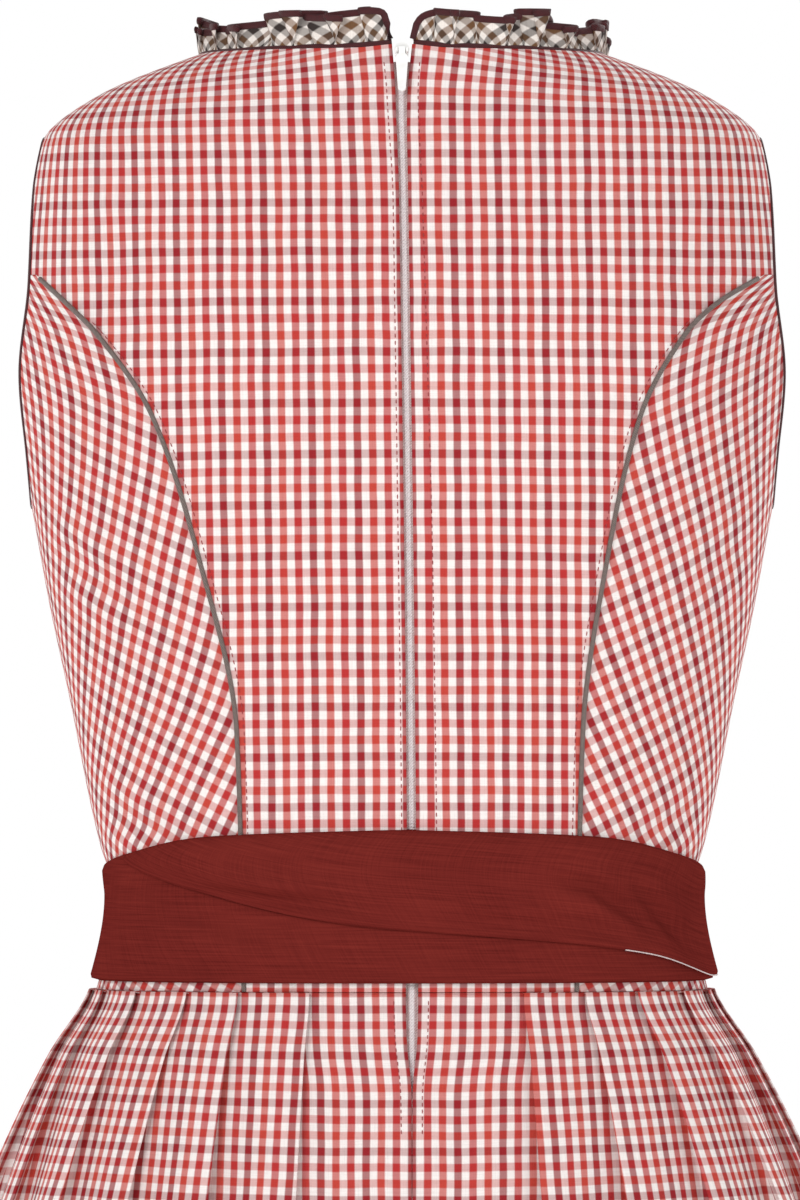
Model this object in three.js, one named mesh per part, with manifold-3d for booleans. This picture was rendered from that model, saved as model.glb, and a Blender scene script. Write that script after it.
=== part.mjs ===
// Sleeveless dirndl dress in its worn, hollow shape: a princess-seamed bodice with piping, a knife-pleated
// skirt, a wound sash, a ruffled neck and a centre-back zip whose pull tab swings.
// Millimetres, +Z up. The front faces -Y and the wearer's left is +X. Heights in the tables are measured
// from the waist seam, and the whole dress hangs below the origin, which lies between the shoulders.

import * as THREE from 'three';
import { mergeVertices } from 'three/addons/utils/BufferGeometryUtils.js';
import Module from 'manifold-3d';

// ---- driving sizes ----
const waistDrop = 380;          // origin down to the waist seam
const skirtLength = 570;
const bodiceWall = 1.5;
const skirtWall = 1.6;
const seamGap = 0.3;            // between neighbouring pieces
const roundness = 2.4;          // exponent of the level sections: 2 is an ellipse
const zipDepth = 1.8;           // the coil lies this far behind the cloth face
const bindingWidth = 2.2;
const pipingWidth = 2.3;
const ruffleHeight = 10.6;
const edgingHeight = 3;
const ruffleSwing = 2.8;        // how far the ruffle's top waves off its foot
const rufflePitch = 18;
const pipingHeight = 1.5;
const pleatDrift = 75;          // drop over which the pleats spread from their places at the waist
const sashWall = 1.2;
const sashLift = 2.9;           // inside of the sash, off the bodice
const zipHead = 398;            // heights above the waist seam
const zipFoot = -44;
const tapeWidth = 12;
const sliderHeight = 397.5;
const tabLength = 13.4;
const tabWall = 1.2;
const fullTurn = 2 * Math.PI;
const quarterTurn = Math.PI / 2;

// Half sizes of the level sections, from the neck down to the hem.
const figure = [
  { z: 404, side: 74, back: 74, front: 58 },
  { z: 400, side: 87, back: 75.8, front: 59.5 },
  { z: 382, side: 131, back: 83, front: 65 },
  { z: 365, side: 153, back: 90, front: 72 },
  { z: 356, side: 156.5, back: 93, front: 77 },
  { z: 342, side: 160, back: 97, front: 85 },
  { z: 301, side: 167.3, back: 108, front: 107 },
  { z: 263, side: 169, back: 112.5, front: 125 },
  { z: 228, side: 163, back: 112.8, front: 137 },
  { z: 205, side: 158.5, back: 111, front: 141 },
  { z: 164, side: 151, back: 106.5, front: 139.5 },
  { z: 122, side: 142, back: 99, front: 127 },
  { z: 79, side: 133.5, back: 91, front: 111.5 },
  { z: 62, side: 129.5, back: 88.5, front: 107 },
  { z: 40, side: 123.5, back: 86, front: 102 },
  { z: 0, side: 131, back: 89.5, front: 105 },
  { z: -28, side: 147, back: 101, front: 112 },
  { z: -70, side: 165.5, back: 118, front: 123.5 },
  { z: -150, side: 193, back: 146, front: 147 },
  { z: -350, side: 250, back: 205, front: 203 },
  { z: -skirtLength, side: 300, back: 258, front: 256 },
];

// The centre-back opening: where its middle lies and half its width.
const opening = [
  { z: 404, middle: 0, half: 4.4 },
  { z: 380, middle: 0.3, half: 2.4 },
  { z: 340, middle: -0.6, half: 1.9 },
  { z: 60, middle: -4, half: 1.9 },
  { z: 0, middle: -4.2, half: 2.6 },
  { z: -18, middle: -4.2, half: 2.3 },
  { z: -44, middle: -4.2, half: 0.15 },
  { z: -skirtLength, middle: -4.2, half: 0.15 },
];

// Princess seams: distance of each from the middle of the body.
const princess = [
  { z: 306, backLeft: 157, backRight: 156, front: 147.6 },
  { z: 292, backLeft: 142, backRight: 133, front: 128 },
  { z: 280, backLeft: 130, backRight: 120.5, front: 116 },
  { z: 245, backLeft: 106, backRight: 101, front: 97 },
  { z: 188, backLeft: 87, backRight: 87.5, front: 86 },
  { z: 110, backLeft: 70, backRight: 76.5, front: 72 },
  { z: 0, backLeft: 67, backRight: 74, front: 60 },
];

// Armhole edge: distance from the middle of the body, behind and in front.
const armhole = [
  { z: 365, back: 153, front: 153 },
  { z: 356, back: 155, front: 150.5 },
  { z: 342, back: 157, front: 149 },
  { z: 301, back: 158.5, front: 147.5 },
  { z: 263, back: 162.6, front: 151 },
  { z: 228, back: 159.9, front: 156.5 },
  { z: 214, back: 158.9, front: 158.5 },
  { z: 205, back: 158.5, front: 158.5 },
];
const shoulderTip = 365;
const neckSide = 400;
const underarm = 205;
const princessTop = 305;        // here the princess seams meet the armholes

// Neck edge: height at each share of the way from the centre to the shoulder seam.
const backNeck = [
  { share: 0, z: 402.5 }, { share: 0.1, z: 401 }, { share: 0.5, z: 400.5 }, { share: 1, z: neckSide },
];
const frontNeck = [
  { share: 0, z: 290 }, { share: 0.22, z: 293 }, { share: 0.42, z: 308 }, { share: 0.52, z: 332 },
  { share: 0.565, z: 360 }, { share: 0.66, z: 378 }, { share: 0.8, z: 391 }, { share: 1, z: neckSide },
];

// Knife pleats of the skirt, in degrees round from the centre back: at the waist, at the hem, and how deep.
const pleats = {
  left: [
    { waist: 13.9, hem: 10.5, depth: 0.9 }, { waist: 27.8, hem: 22, depth: 1.1 },
    { waist: 40.1, hem: 36, depth: 0.95 }, { waist: 55.6, hem: 49, depth: 1.15 },
    { waist: 72, hem: 62, depth: 1 }, { waist: 88, hem: 77, depth: 1.05 },
    { waist: 103, hem: 93, depth: 0.9 }, { waist: 119, hem: 109, depth: 1.1 },
    { waist: 135, hem: 125, depth: 1 }, { waist: 150, hem: 141, depth: 0.9 },
    { waist: 165, hem: 159, depth: 1.05 },
  ],
  right: [
    { waist: 19.3, hem: 14.5, depth: 1 }, { waist: 32.2, hem: 27, depth: 0.9 },
    { waist: 45.5, hem: 42.5, depth: 1.1 }, { waist: 61.6, hem: 60, depth: 1.15 },
    { waist: 77, hem: 74, depth: 0.95 }, { waist: 92, hem: 89, depth: 1.05 },
    { waist: 107, hem: 104, depth: 0.9 }, { waist: 122, hem: 119, depth: 1 },
    { waist: 137, hem: 135, depth: 1.1 }, { waist: 152, hem: 150, depth: 0.95 },
    { waist: 166, hem: 165, depth: 1 },
  ],
};
const pleatsBehind = 5;         // pleats of a half that lie on its back panel

// How high the pleats stand and which share of a pleat its riser takes.
const fullness = [
  { z: 0, height: 3, riser: 0.1 },
  { z: -50, height: 6, riser: 0.16 },
  { z: -92, height: 9, riser: 0.22 },
  { z: -170, height: 16, riser: 0.3 },
  { z: -380, height: 29, riser: 0.38 },
  { z: -skirtLength, height: 36, riser: 0.42 },
];

// Sash: its top edge at each angle round from the centre back, the same on both sides.
const sashBottom = 3.8;
const sashTop = [
  { degrees: 0, z: 69 }, { degrees: 35, z: 66 }, { degrees: 65, z: 58 }, { degrees: 95, z: 52 },
  { degrees: 180, z: 50 },
];
// Lower edge of the sash's upper turn, which climbs from the right side to the left.
const sashTurn = [
  { degrees: -180, z: 3.8 }, { degrees: -80, z: 4.5 }, { degrees: -50, z: 15 }, { degrees: -30, z: 20 },
  { degrees: 0, z: 26 }, { degrees: 30, z: 38 }, { degrees: 62, z: 52 },
];

// ---- tables as smooth curves ----
// Value of a column at a place between the rows: a cubic that never overshoots them.
function valueAt(rows, key, place, column) {
  const rising = rows[0][key] < rows[rows.length - 1][key];
  const list = rising ? rows : [...rows].reverse();
  const last = list.length - 1;
  const slope = (i) => (list[i + 1][column] - list[i][column]) / (list[i + 1][key] - list[i][key]);
  const tangent = (i) => {
    if (i === 0) return slope(0);
    if (i === last) return slope(last - 1);
    const before = slope(i - 1);
    const after = slope(i);
    return before * after <= 0 ? 0 : (2 * before * after) / (before + after);
  };
  if (place <= list[0][key]) return list[0][column];
  if (place >= list[last][key]) return list[last][column];
  let i = 0;
  while (list[i + 1][key] < place) i += 1;
  const span = list[i + 1][key] - list[i][key];
  const t = (place - list[i][key]) / span;
  const near = list[i][column] * (1 + 2 * t) * (1 - t) ** 2 + list[i + 1][column] * t * t * (3 - 2 * t);
  return near + span * (tangent(i) * t * (1 - t) ** 2 - tangent(i + 1) * t * t * (1 - t));
}

const mix = (from, to, share) => from + (to - from) * share;
const radians = THREE.MathUtils.degToRad;
const shares = (count) => Array.from({ length: count + 1 }, (_, i) => i / count);

// ---- the figure's surface ----
// Angles run round from the centre back: + towards the wearer's left, a half turn at the centre front.
function figurePoint(angle, z) {
  const sine = Math.sin(angle);
  const cosine = Math.cos(angle);
  const power = 2 / roundness;
  const depth = valueAt(figure, 'z', z, cosine > 0 ? 'back' : 'front');
  return new THREE.Vector3(
    valueAt(figure, 'z', z, 'side') * Math.sign(sine) * Math.abs(sine) ** power,
    depth * Math.sign(cosine) * Math.abs(cosine) ** power,
    z,
  );
}

function figureNormal(angle, z) {
  const turn = 0.02;
  const rise = 1;
  const round = figurePoint(angle + turn, z).sub(figurePoint(angle - turn, z));
  const up = figurePoint(angle, z + rise).sub(figurePoint(angle, z - rise));
  return up.cross(round).normalize();
}

// A point of the cloth: a pleat stands off the figure on the level, and cloth is lifted along its normal.
function clothPoint({ angle, z, stand = 0 }, lift) {
  const normal = figureNormal(angle, z);
  const level = new THREE.Vector3(normal.x, normal.y, 0).normalize();
  return figurePoint(angle, z).addScaledVector(level, stand).addScaledVector(normal, lift);
}

// Angle, from the middle of the front or back, at which the section is x wide.
function angleOfX(x, z) {
  const share = Math.min(1, Math.abs(x) / valueAt(figure, 'z', z, 'side'));
  return Math.sign(x) * Math.asin(share ** (roundness / 2));
}

// The angle that lies a distance further round the level section.
function alongSection(angle, z, distance) {
  const start = figurePoint(angle, z);
  let step = distance / 120;
  for (let i = 0; i < 8; i += 1) {
    step *= Math.abs(distance) / start.distanceTo(figurePoint(angle + step, z));
  }
  return angle + step;
}

// ---- closed solids ----
function solidFromFaces(points, faces) {
  let volume = 0;
  for (let i = 0; i < faces.length; i += 3) {
    const [a, b, c] = [points[faces[i]], points[faces[i + 1]], points[faces[i + 2]]];
    volume += a.dot(b.clone().cross(c));
  }
  const geometry = new THREE.BufferGeometry();
  geometry.setAttribute('position', new THREE.Float32BufferAttribute(points.flatMap((p) => p.toArray()), 3));
  geometry.setIndex(volume < 0 ? [...faces].reverse() : faces);
  const faceted = geometry.toNonIndexed();
  faceted.computeVertexNormals();
  return faceted;
}

// Triangles between two equal rings of point numbers, the last joined to the first.
function band(ringA, ringB, faces) {
  ringA.forEach((a, i) => {
    const next = (i + 1) % ringA.length;
    faces.push(a, ringA[next], ringB[next], a, ringB[next], ringB[i]);
  });
}

// A wall of cloth between two equal grids of points, rows by columns, closed along its rim.
function wallSolid(outside, inside, closedRound) {
  const rows = outside.length;
  const columns = outside[0].length;
  const points = [...outside.flat(), ...inside.flat()];
  const faces = [];
  const outer = (r, c) => r * columns + (c % columns);
  const inner = (r, c) => rows * columns + outer(r, c);
  const quad = (a, b, c, d) => faces.push(a, b, c, a, c, d);
  const spans = closedRound ? columns : columns - 1;
  for (let c = 0; c < spans; c += 1) {
    for (let r = 0; r + 1 < rows; r += 1) {
      quad(outer(r, c), outer(r, c + 1), outer(r + 1, c + 1), outer(r + 1, c));
      quad(inner(r, c), inner(r + 1, c), inner(r + 1, c + 1), inner(r, c + 1));
    }
    quad(outer(0, c), inner(0, c), inner(0, c + 1), outer(0, c + 1));
    quad(outer(rows - 1, c), outer(rows - 1, c + 1), inner(rows - 1, c + 1), inner(rows - 1, c));
  }
  for (let r = 0; !closedRound && r + 1 < rows; r += 1) {
    quad(outer(r, 0), outer(r + 1, 0), inner(r + 1, 0), inner(r, 0));
    quad(outer(r, spans), inner(r, spans), inner(r + 1, spans), outer(r + 1, spans));
  }
  return solidFromFaces(points, faces);
}

// A wall whose outer face lies at the spots, rows of { angle, z, lift }, lifted off the figure.
function clothWall(spots, wall, closedRound = false) {
  const grid = (sink) => spots.map((row) => row.map((spot) => clothPoint(spot, (spot.lift ?? 0) - sink)));
  return wallSolid(grid(0), grid(wall), closedRound);
}

// A strip swept along frames { at, out, over }; its section's corners { out, over } go round in order.
function sweptSolid(frames, sectionAt, closedRound = false) {
  const rings = frames.map((frame, i) => sectionAt(frame, i).map((corner) => (
    frame.at.clone().addScaledVector(frame.out, corner.out).addScaledVector(frame.over, corner.over)
  )));
  const sides = rings[0].length;
  const numbers = rings.map((ring, i) => ring.map((_, side) => i * sides + side));
  const faces = [];
  for (let i = 0; i + 1 < rings.length; i += 1) band(numbers[i], numbers[i + 1], faces);
  const [first, last] = [numbers[0], numbers[numbers.length - 1]];
  if (closedRound) band(last, first, faces);
  for (let side = 1; !closedRound && side + 1 < sides; side += 1) {
    faces.push(first[0], first[side + 1], first[side], last[0], last[side], last[side + 1]);
  }
  return solidFromFaces(rings.flat(), faces);
}

const boxSection = (outLow, outHigh, overLow, overHigh) => [
  { out: outLow, over: overLow }, { out: outLow, over: overHigh },
  { out: outHigh, over: overHigh }, { out: outHigh, over: overLow },
];

// Frames along a line of spots: out lies in the cloth, to the left of the way along as seen from outside,
// and over points off the cloth's face.
function framesAlong(spots, closedRound = false) {
  const points = spots.map((spot) => clothPoint(spot, 0));
  const count = points.length;
  return spots.map((spot, i) => {
    const before = closedRound ? (i + count - 1) % count : Math.max(i - 1, 0);
    const after = closedRound ? (i + 1) % count : Math.min(i + 1, count - 1);
    const over = figureNormal(spot.angle, spot.z);
    const out = points[after].clone().sub(points[before]).cross(over).normalize();
    return { at: points[i], out, over };
  });
}

// ---- materials ----
const finish = (color, roughness) => () => new THREE.MeshStandardMaterial({ color, roughness, metalness: 0 });
const gingham = finish('#d9706c', 0.85);
const ginghamBias = finish('#cf6a66', 0.85);
const ruffleCheck = finish('#b3a79c', 0.85);
const burgundyTrim = finish('#4d1f22', 0.6);
const taffeta = finish('#7a2a28', 0.45);
const taupePiping = finish('#85756e', 0.7);
const zipTapeCloth = finish('#d8c6c2', 0.8);
const zipPlastic = finish('#f6f5f3', 0.35);

const dress = new THREE.Group();
dress.position.z = -waistDrop;

function addPiece(name, geometry, material, parent = dress) {
  const mesh = new THREE.Mesh(geometry, material());
  mesh.name = name;
  parent.add(mesh);
}

// ---- edges of the bodice, as angles from the middle of the back or of the front ----
const openingEdge = (z, side) => {
  const middle = valueAt(opening, 'z', z, 'middle');
  return side * angleOfX(middle + side * valueAt(opening, 'z', z, 'half'), z);
};
const princessColumn = (face, side) => (face === 'front' ? 'front' : side > 0 ? 'backLeft' : 'backRight');
const princessEdge = (z, face, side) => angleOfX(valueAt(princess, 'z', z, princessColumn(face, side)), z);
const armholeEdge = (z, face) => (
  z >= shoulderTip || z <= underarm ? quarterTurn : angleOfX(valueAt(armhole, 'z', z, face), z)
);
const angleRound = (fromMiddle, face, side) => side * (face === 'back' ? fromMiddle : Math.PI - fromMiddle);

const lowRows = [0, 35, 55, 75, 115, 160, underarm, 212, 228, 250, 275, 292, 303];
const highRows = [307, 330, 350, shoulderTip, 380];
const backShares = [0, 0.04, 0.17, 0.33, 0.5, 0.67, 0.84, 1];
const frontShares = frontNeck.map((row) => row.share);

// Outer edge of the back and front pieces: princess seam, then armhole, then shoulder seam.
function outerEdge(z, face, side) {
  if (z < princessTop) return alongSection(princessEdge(z, face, side), z, -seamGap / 2);
  if (z < shoulderTip) return armholeEdge(z, face);
  return alongSection(quarterTurn, z, -seamGap / 2);
}

function backSpot(side, share, z) {
  const fromMiddle = mix(openingEdge(z, side), outerEdge(z, 'back', side), share);
  return { angle: angleRound(fromMiddle, 'back', side), z };
}
const backNeckSpot = (side, share) => backSpot(side, share, valueAt(backNeck, 'share', share, 'z'));

function frontSpot(signedShare, z) {
  const side = Math.sign(signedShare) || 1;
  const widthShare = Math.abs(signedShare) ** (roundness / 2) * Math.sin(outerEdge(z, 'front', side));
  return { angle: Math.PI - side * Math.asin(Math.min(1, widthShare)), z };
}
const frontNeckSpot = (share) => frontSpot(share, valueAt(frontNeck, 'share', Math.abs(share), 'z'));

const aboveSeam = (z) => Math.max(z, seamGap / 2);

function addBackPanel(name, side) {
  const spots = [...lowRows, ...highRows].map((z) => backShares.map((share) => backSpot(side, share, aboveSeam(z))));
  spots.push(backShares.map((share) => backNeckSpot(side, share)));
  addPiece(name, clothWall(spots, bodiceWall), gingham);
}

// The front is one piece. Its rows bend up from the centre to the height of the side pieces.
function addFrontPanel(name) {
  const columns = [...frontShares.slice(1).reverse().map((share) => -share), ...frontShares];
  const spots = [...lowRows, ...highRows].map((level) => columns.map((share) => {
    const top = valueAt(frontNeck, 'share', Math.abs(share), 'z');
    return frontSpot(share, aboveSeam(level * (top / neckSide)));
  }));
  spots.push(columns.map(frontNeckSpot));
  addPiece(name, clothWall(spots, bodiceWall), gingham);
}

// Side pieces reach from a princess seam to the side seam, and above it to the armhole.
function addSidePanel(name, face, side) {
  const spots = lowRows.map((level) => shares(4).map((share) => {
    const z = aboveSeam(level);
    const inner = alongSection(princessEdge(z, face, side), z, seamGap / 2);
    const outer = z > underarm ? armholeEdge(z, face) : alongSection(quarterTurn, z, -seamGap / 2);
    return { angle: angleRound(mix(inner, outer, share), face, side), z };
  }));
  addPiece(name, clothWall(spots, bodiceWall), ginghamBias);
}

// Piping stands proud of the princess seams.
function addPiping(name, face, side) {
  const levels = lowRows.slice(0, -1).map(aboveSeam);
  const frames = framesAlong(levels.map((z) => ({ angle: angleRound(princessEdge(z, face, side), face, side), z })));
  const half = pipingWidth / 2;
  const section = [
    { out: half, over: seamGap }, { out: -half, over: seamGap },
    { out: -half * 0.5, over: pipingHeight }, { out: half * 0.5, over: pipingHeight },
  ];
  addPiece(name, sweptSolid(frames, () => section), taupePiping);
}

const bindingSection = boxSection(seamGap, seamGap + bindingWidth, -1.9, 0.4);

// Binding round an armhole: down its back edge, under the arm and up its front edge.
function addArmholeBinding(name, side) {
  const levels = [...lowRows, ...highRows].filter((z) => z > underarm && z < shoulderTip);
  const edge = (z, face) => ({ angle: angleRound(armholeEdge(z, face), face, side), z });
  const loop = [
    { angle: side * quarterTurn, z: shoulderTip },
    ...[...levels].reverse().map((z) => edge(z, 'back')),
    { angle: side * quarterTurn, z: underarm },
    ...levels.map((z) => edge(z, 'front')),
  ];
  const frames = framesAlong(side > 0 ? loop : loop.reverse(), true);
  addPiece(name, sweptSolid(frames, () => bindingSection, true), burgundyTrim);
}

// ---- neck trim: from the left of the opening, round the front, to the right of the opening ----
function neckFrames() {
  const left = [
    ...backShares.map((share) => backNeckSpot(1, share)),
    ...frontShares.slice(1).reverse().map(frontNeckSpot),
  ];
  const right = [
    ...frontShares.map((share) => frontNeckSpot(-share)),
    ...backShares.slice(0, -1).reverse().map((share) => backNeckSpot(-1, share)),
  ];
  const spots = [...left, ...right].filter((spot, i, all) => (
    i === 0 || clothPoint(spot, 0).distanceTo(clothPoint(all[i - 1], 0)) > 1
  ));
  return framesAlong(spots.map(({ angle, z }) => ({ angle: angle < 0 ? angle + fullTurn : angle, z })));
}

// Frames with more between them, a step apart, in a zigzag of + and -.
function zigzagFrames(frames, step) {
  const fine = [];
  frames.slice(0, -1).forEach((frame, i) => {
    const next = frames[i + 1];
    const steps = Math.max(1, Math.round(frame.at.distanceTo(next.at) / step));
    for (let k = 0; k < steps; k += 1) {
      const blend = (key) => frame[key].clone().lerp(next[key], k / steps);
      fine.push({ at: blend('at'), out: blend('out').normalize(), over: blend('over').normalize() });
    }
  });
  fine.push(frames[frames.length - 1]);
  return fine.map((frame, i) => ({ ...frame, wave: i % 2 ? -1 : 1 }));
}

// The ruffle's foot lies above the binding, and it stands up and slightly outward from it.
function ruffleFrames() {
  return zigzagFrames(neckFrames(), rufflePitch / 2).map(({ at, out, over, wave }) => {
    const rise = out.clone().multiplyScalar(1 - 0.5 * over.z).addScaledVector(over, 0.15 + 0.9 * over.z).normalize();
    const along = out.clone().cross(over);
    const foot = at.clone().addScaledVector(out, seamGap + bindingWidth + 1.4);
    return { at: foot, out: rise, over: rise.clone().cross(along).multiplyScalar(-1).normalize(), wave };
  });
}

// Section of the ruffle between two heights; its fan opens with the height.
const fanSection = (low, high, wall) => ({ wave }) => {
  const shift = (height) => (wave * ruffleSwing * height) / ruffleHeight;
  return [
    { out: low, over: shift(low) - wall / 2 }, { out: low, over: shift(low) + wall / 2 },
    { out: high, over: shift(high) + wall / 2 }, { out: high, over: shift(high) - wall / 2 },
  ];
};

function addNeckTrim() {
  addPiece('neck_binding', sweptSolid(neckFrames(), () => bindingSection), burgundyTrim);
  const frames = ruffleFrames();
  addPiece('neck_ruffle', sweptSolid(frames, fanSection(0, ruffleHeight, 1.2)), ruffleCheck);
  const edgeFoot = ruffleHeight + seamGap;
  addPiece('ruffle_edging', sweptSolid(frames, fanSection(edgeFoot, edgeFoot + edgingHeight, 1.8)), burgundyTrim);
}

// ---- skirt ----
// Fold 0 is the centre-back opening, and the last is the centre front.
function foldAngle(side, number, z) {
  const list = side > 0 ? pleats.left : pleats.right;
  if (number === 0) return openingEdge(z, side);
  if (number > list.length) return alongSection(Math.PI, z, -seamGap / 2);
  const { waist, hem } = list[number - 1];
  return radians(mix(waist, hem, 1 - Math.exp(z / pleatDrift)));
}

// One half round at a height: each pleat stands highest at its fold edge, which faces the centre back,
// slopes to its foot and rises steeply to the next fold edge.
function pleatedHalf(side, z) {
  const list = side > 0 ? pleats.left : pleats.right;
  const height = valueAt(fullness, 'z', z, 'height');
  const riser = valueAt(fullness, 'z', z, 'riser');
  const spots = [];
  for (let number = 0; number <= list.length; number += 1) {
    const from = foldAngle(side, number, z);
    const to = foldAngle(side, number + 1, z);
    const ridge = number === 0 ? 0 : list[number - 1].depth * height;
    const foot = number === list.length ? 1 : 1 - riser;
    for (const share of [0, 0.35, 0.7, 1]) {
      const slope = 1 - share * share * (3 - 2 * share);
      spots.push({ angle: side * mix(from, to, share * foot), z, stand: ridge * slope });
    }
  }
  return spots;
}

function addSkirtPanels(side, backName, frontName) {
  const seamColumn = 4 * pleatsBehind + 3;
  const levels = [-seamGap / 2, -22, -55, -105, -185, -300, -430, -skirtLength];
  const halves = levels.map((z) => pleatedHalf(side, z));
  const shifted = (spot, distance) => (
    { ...spot, angle: alongSection(spot.angle, spot.z, side * distance) }
  );
  const back = halves.map((row) => [...row.slice(0, seamColumn), shifted(row[seamColumn], -seamGap / 2)]);
  const front = halves.map((row) => [shifted(row[seamColumn], seamGap / 2), ...row.slice(seamColumn + 1)]);
  addPiece(backName, clothWall(back, skirtWall), gingham);
  addPiece(frontName, clothWall(front, skirtWall), gingham);
}

// ---- sash ----
const sashAngles = shares(36).map((share) => -180 + 360 * share);

function addSash() {
  const top = (degrees) => valueAt(sashTop, 'degrees', Math.abs(degrees), 'z');
  const turn = (degrees) => valueAt(sashTurn, 'degrees', degrees, 'z');
  // Both turns share their rows, and the upper turn's are squeezed together below its own lower edge.
  const rowsAbove = (foot, angles, lift) => [0, 0.35, 0.68, 1].map((share, row) => angles.map((degrees) => {
    const level = mix(sashBottom, top(degrees), share);
    return { angle: radians(degrees), z: Math.max(level, foot(degrees) + 0.8 * row), lift };
  }));
  const under = rowsAbove(() => 0, sashAngles.slice(0, -1), sashLift + sashWall);
  addPiece('sash_under_turn', clothWall(under, sashWall, true), taffeta);
  const wound = sashAngles.filter((degrees) => degrees <= sashTurn[sashTurn.length - 1].degrees);
  const over = rowsAbove(turn, wound, sashLift + 2 * sashWall + 0.9);
  addPiece('sash_over_turn', clothWall(over, sashWall), taffeta);
}

// ---- zip ----
function zipStrip(from, to, left, right, outside, wall) {
  const levels = [from, -30, -15, ...lowRows, ...highRows].filter((z) => z >= from && z < to).concat(to);
  const spots = levels.map((z) => [left, right].map((offset) => (
    { angle: angleOfX(valueAt(opening, 'z', z, 'middle') + offset, z), z, lift: outside }
  )));
  return clothWall(spots, wall);
}

function addZip() {
  const tapeLift = -zipDepth - 1.5;
  addPiece('zip_tape_left', zipStrip(zipFoot, zipHead, 0.3, tapeWidth, tapeLift, 1), zipTapeCloth);
  addPiece('zip_tape_right', zipStrip(zipFoot, zipHead, -tapeWidth, -0.3, tapeLift, 1), zipTapeCloth);
  addPiece('zip_coil', zipStrip(zipFoot + 3, zipHead - 12, -1.5, 1.5, -zipDepth, 1.2), zipPlastic);
}

// ---- slider and pull tab, in a frame whose +Y points off the cloth and +Z up along it ----
const wasm = await Module();
wasm.setup();

function manifoldOf(geometry) {
  const bare = geometry.clone();
  bare.deleteAttribute('normal');
  bare.deleteAttribute('uv');
  const merged = mergeVertices(bare, 1e-4);
  const index = merged.index ?? { array: Array.from({ length: merged.attributes.position.count }, (_, i) => i) };
  return new wasm.Manifold(new wasm.Mesh({
    numProp: 3,
    vertProperties: Float32Array.from(merged.attributes.position.array),
    triVerts: Uint32Array.from(index.array),
  }));
}

function geometryOf(manifold) {
  const { vertProperties, triVerts } = manifold.getMesh();
  const geometry = new THREE.BufferGeometry();
  geometry.setAttribute('position', new THREE.Float32BufferAttribute(vertProperties, 3));
  geometry.setIndex([...triVerts]);
  return geometry.toNonIndexed();
}

// A plate with rounded ends of two radii, its long way along Z, from low to high in Y.
function teardropPlate(topRadius, footRadius, length, low, high) {
  const shape = new THREE.Shape();
  shape.absarc(0, 0, topRadius, 0, Math.PI, false);
  shape.absarc(0, -length, footRadius, Math.PI, fullTurn, false);
  const plate = new THREE.ExtrudeGeometry(shape, { depth: high - low, bevelEnabled: false, curveSegments: 8 });
  return plate.rotateX(quarterTurn).translate(0, high, 0);
}

const barAcross = (radius, from, to, y, z) => (
  new THREE.CylinderGeometry(radius, radius, to - from, 16).rotateZ(quarterTurn).translate((from + to) / 2, y, z)
);

const slide = new THREE.Group();
const slideSpot = { angle: angleOfX(valueAt(opening, 'z', sliderHeight, 'middle'), sliderHeight), z: sliderHeight };
slide.position.copy(clothPoint(slideSpot, 0));
const slope = figureNormal(slideSpot.angle, slideSpot.z);
slide.rotation.x = Math.atan2(slope.z, slope.y);
dress.add(slide);

const pivot = { y: 3.7, z: 1.5 };

function addSlider() {
  const plate = teardropPlate(3.1, 2.3, 6, 0.5, 1.5).translate(0, 0, 2.6);
  const wedge = new THREE.BoxGeometry(2.2, 2.6, 5).translate(0, -0.6, 0.4);
  const lugs = [-1, 1].map((side) => {
    const [near, far] = [side * 1.75, side * 2.65].sort((a, b) => a - b);
    const ear = barAcross(1.3, near, far, pivot.y, pivot.z);
    const post = new THREE.BoxGeometry(far - near, pivot.y - 1.2, 2.6);
    return manifoldOf(ear).add(manifoldOf(post.translate((near + far) / 2, (pivot.y + 1.2) / 2, pivot.z)));
  });
  const pin = manifoldOf(barAcross(0.6, -1.9, 1.9, pivot.y, pivot.z));
  const solid = [manifoldOf(wedge), ...lugs, pin].reduce((all, next) => all.add(next), manifoldOf(plate));
  addPiece('zip_slider', geometryOf(solid), zipPlastic, slide);
}

function addPullTab() {
  const half = tabWall / 2;
  const blade = teardropPlate(2.6, 1.7, tabLength, -half, half).translate(0, pivot.y, pivot.z - 4.6);
  const neck = new THREE.BoxGeometry(2.8, tabWall, 3.4).translate(0, pivot.y, pivot.z - 2.4);
  const eye = barAcross(1.65, -1.4, 1.4, pivot.y, pivot.z);
  const hole = barAcross(0.95, -3, 3, pivot.y, pivot.z);
  const solid = manifoldOf(blade).add(manifoldOf(neck)).add(manifoldOf(eye)).subtract(manifoldOf(hole));
  addPiece('zip_pull_tab', geometryOf(solid), zipPlastic, slide);
}

// ---- the whole dress ----
addBackPanel('back_left', 1);
addBackPanel('back_right', -1);
addFrontPanel('front_centre');
for (const [sideName, side] of [['left', 1], ['right', -1]]) {
  for (const face of ['back', 'front']) {
    addSidePanel(`side_${face}_${sideName}`, face, side);
    addPiping(`piping_${face}_${sideName}`, face, side);
  }
  addArmholeBinding(`armhole_binding_${sideName}`, side);
  addSkirtPanels(side, `skirt_back_${sideName}`, `skirt_front_${sideName}`);
}
addNeckTrim();
addSash();
addZip();
addSlider();
addPullTab();

export default dress;
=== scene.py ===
import math

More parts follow.
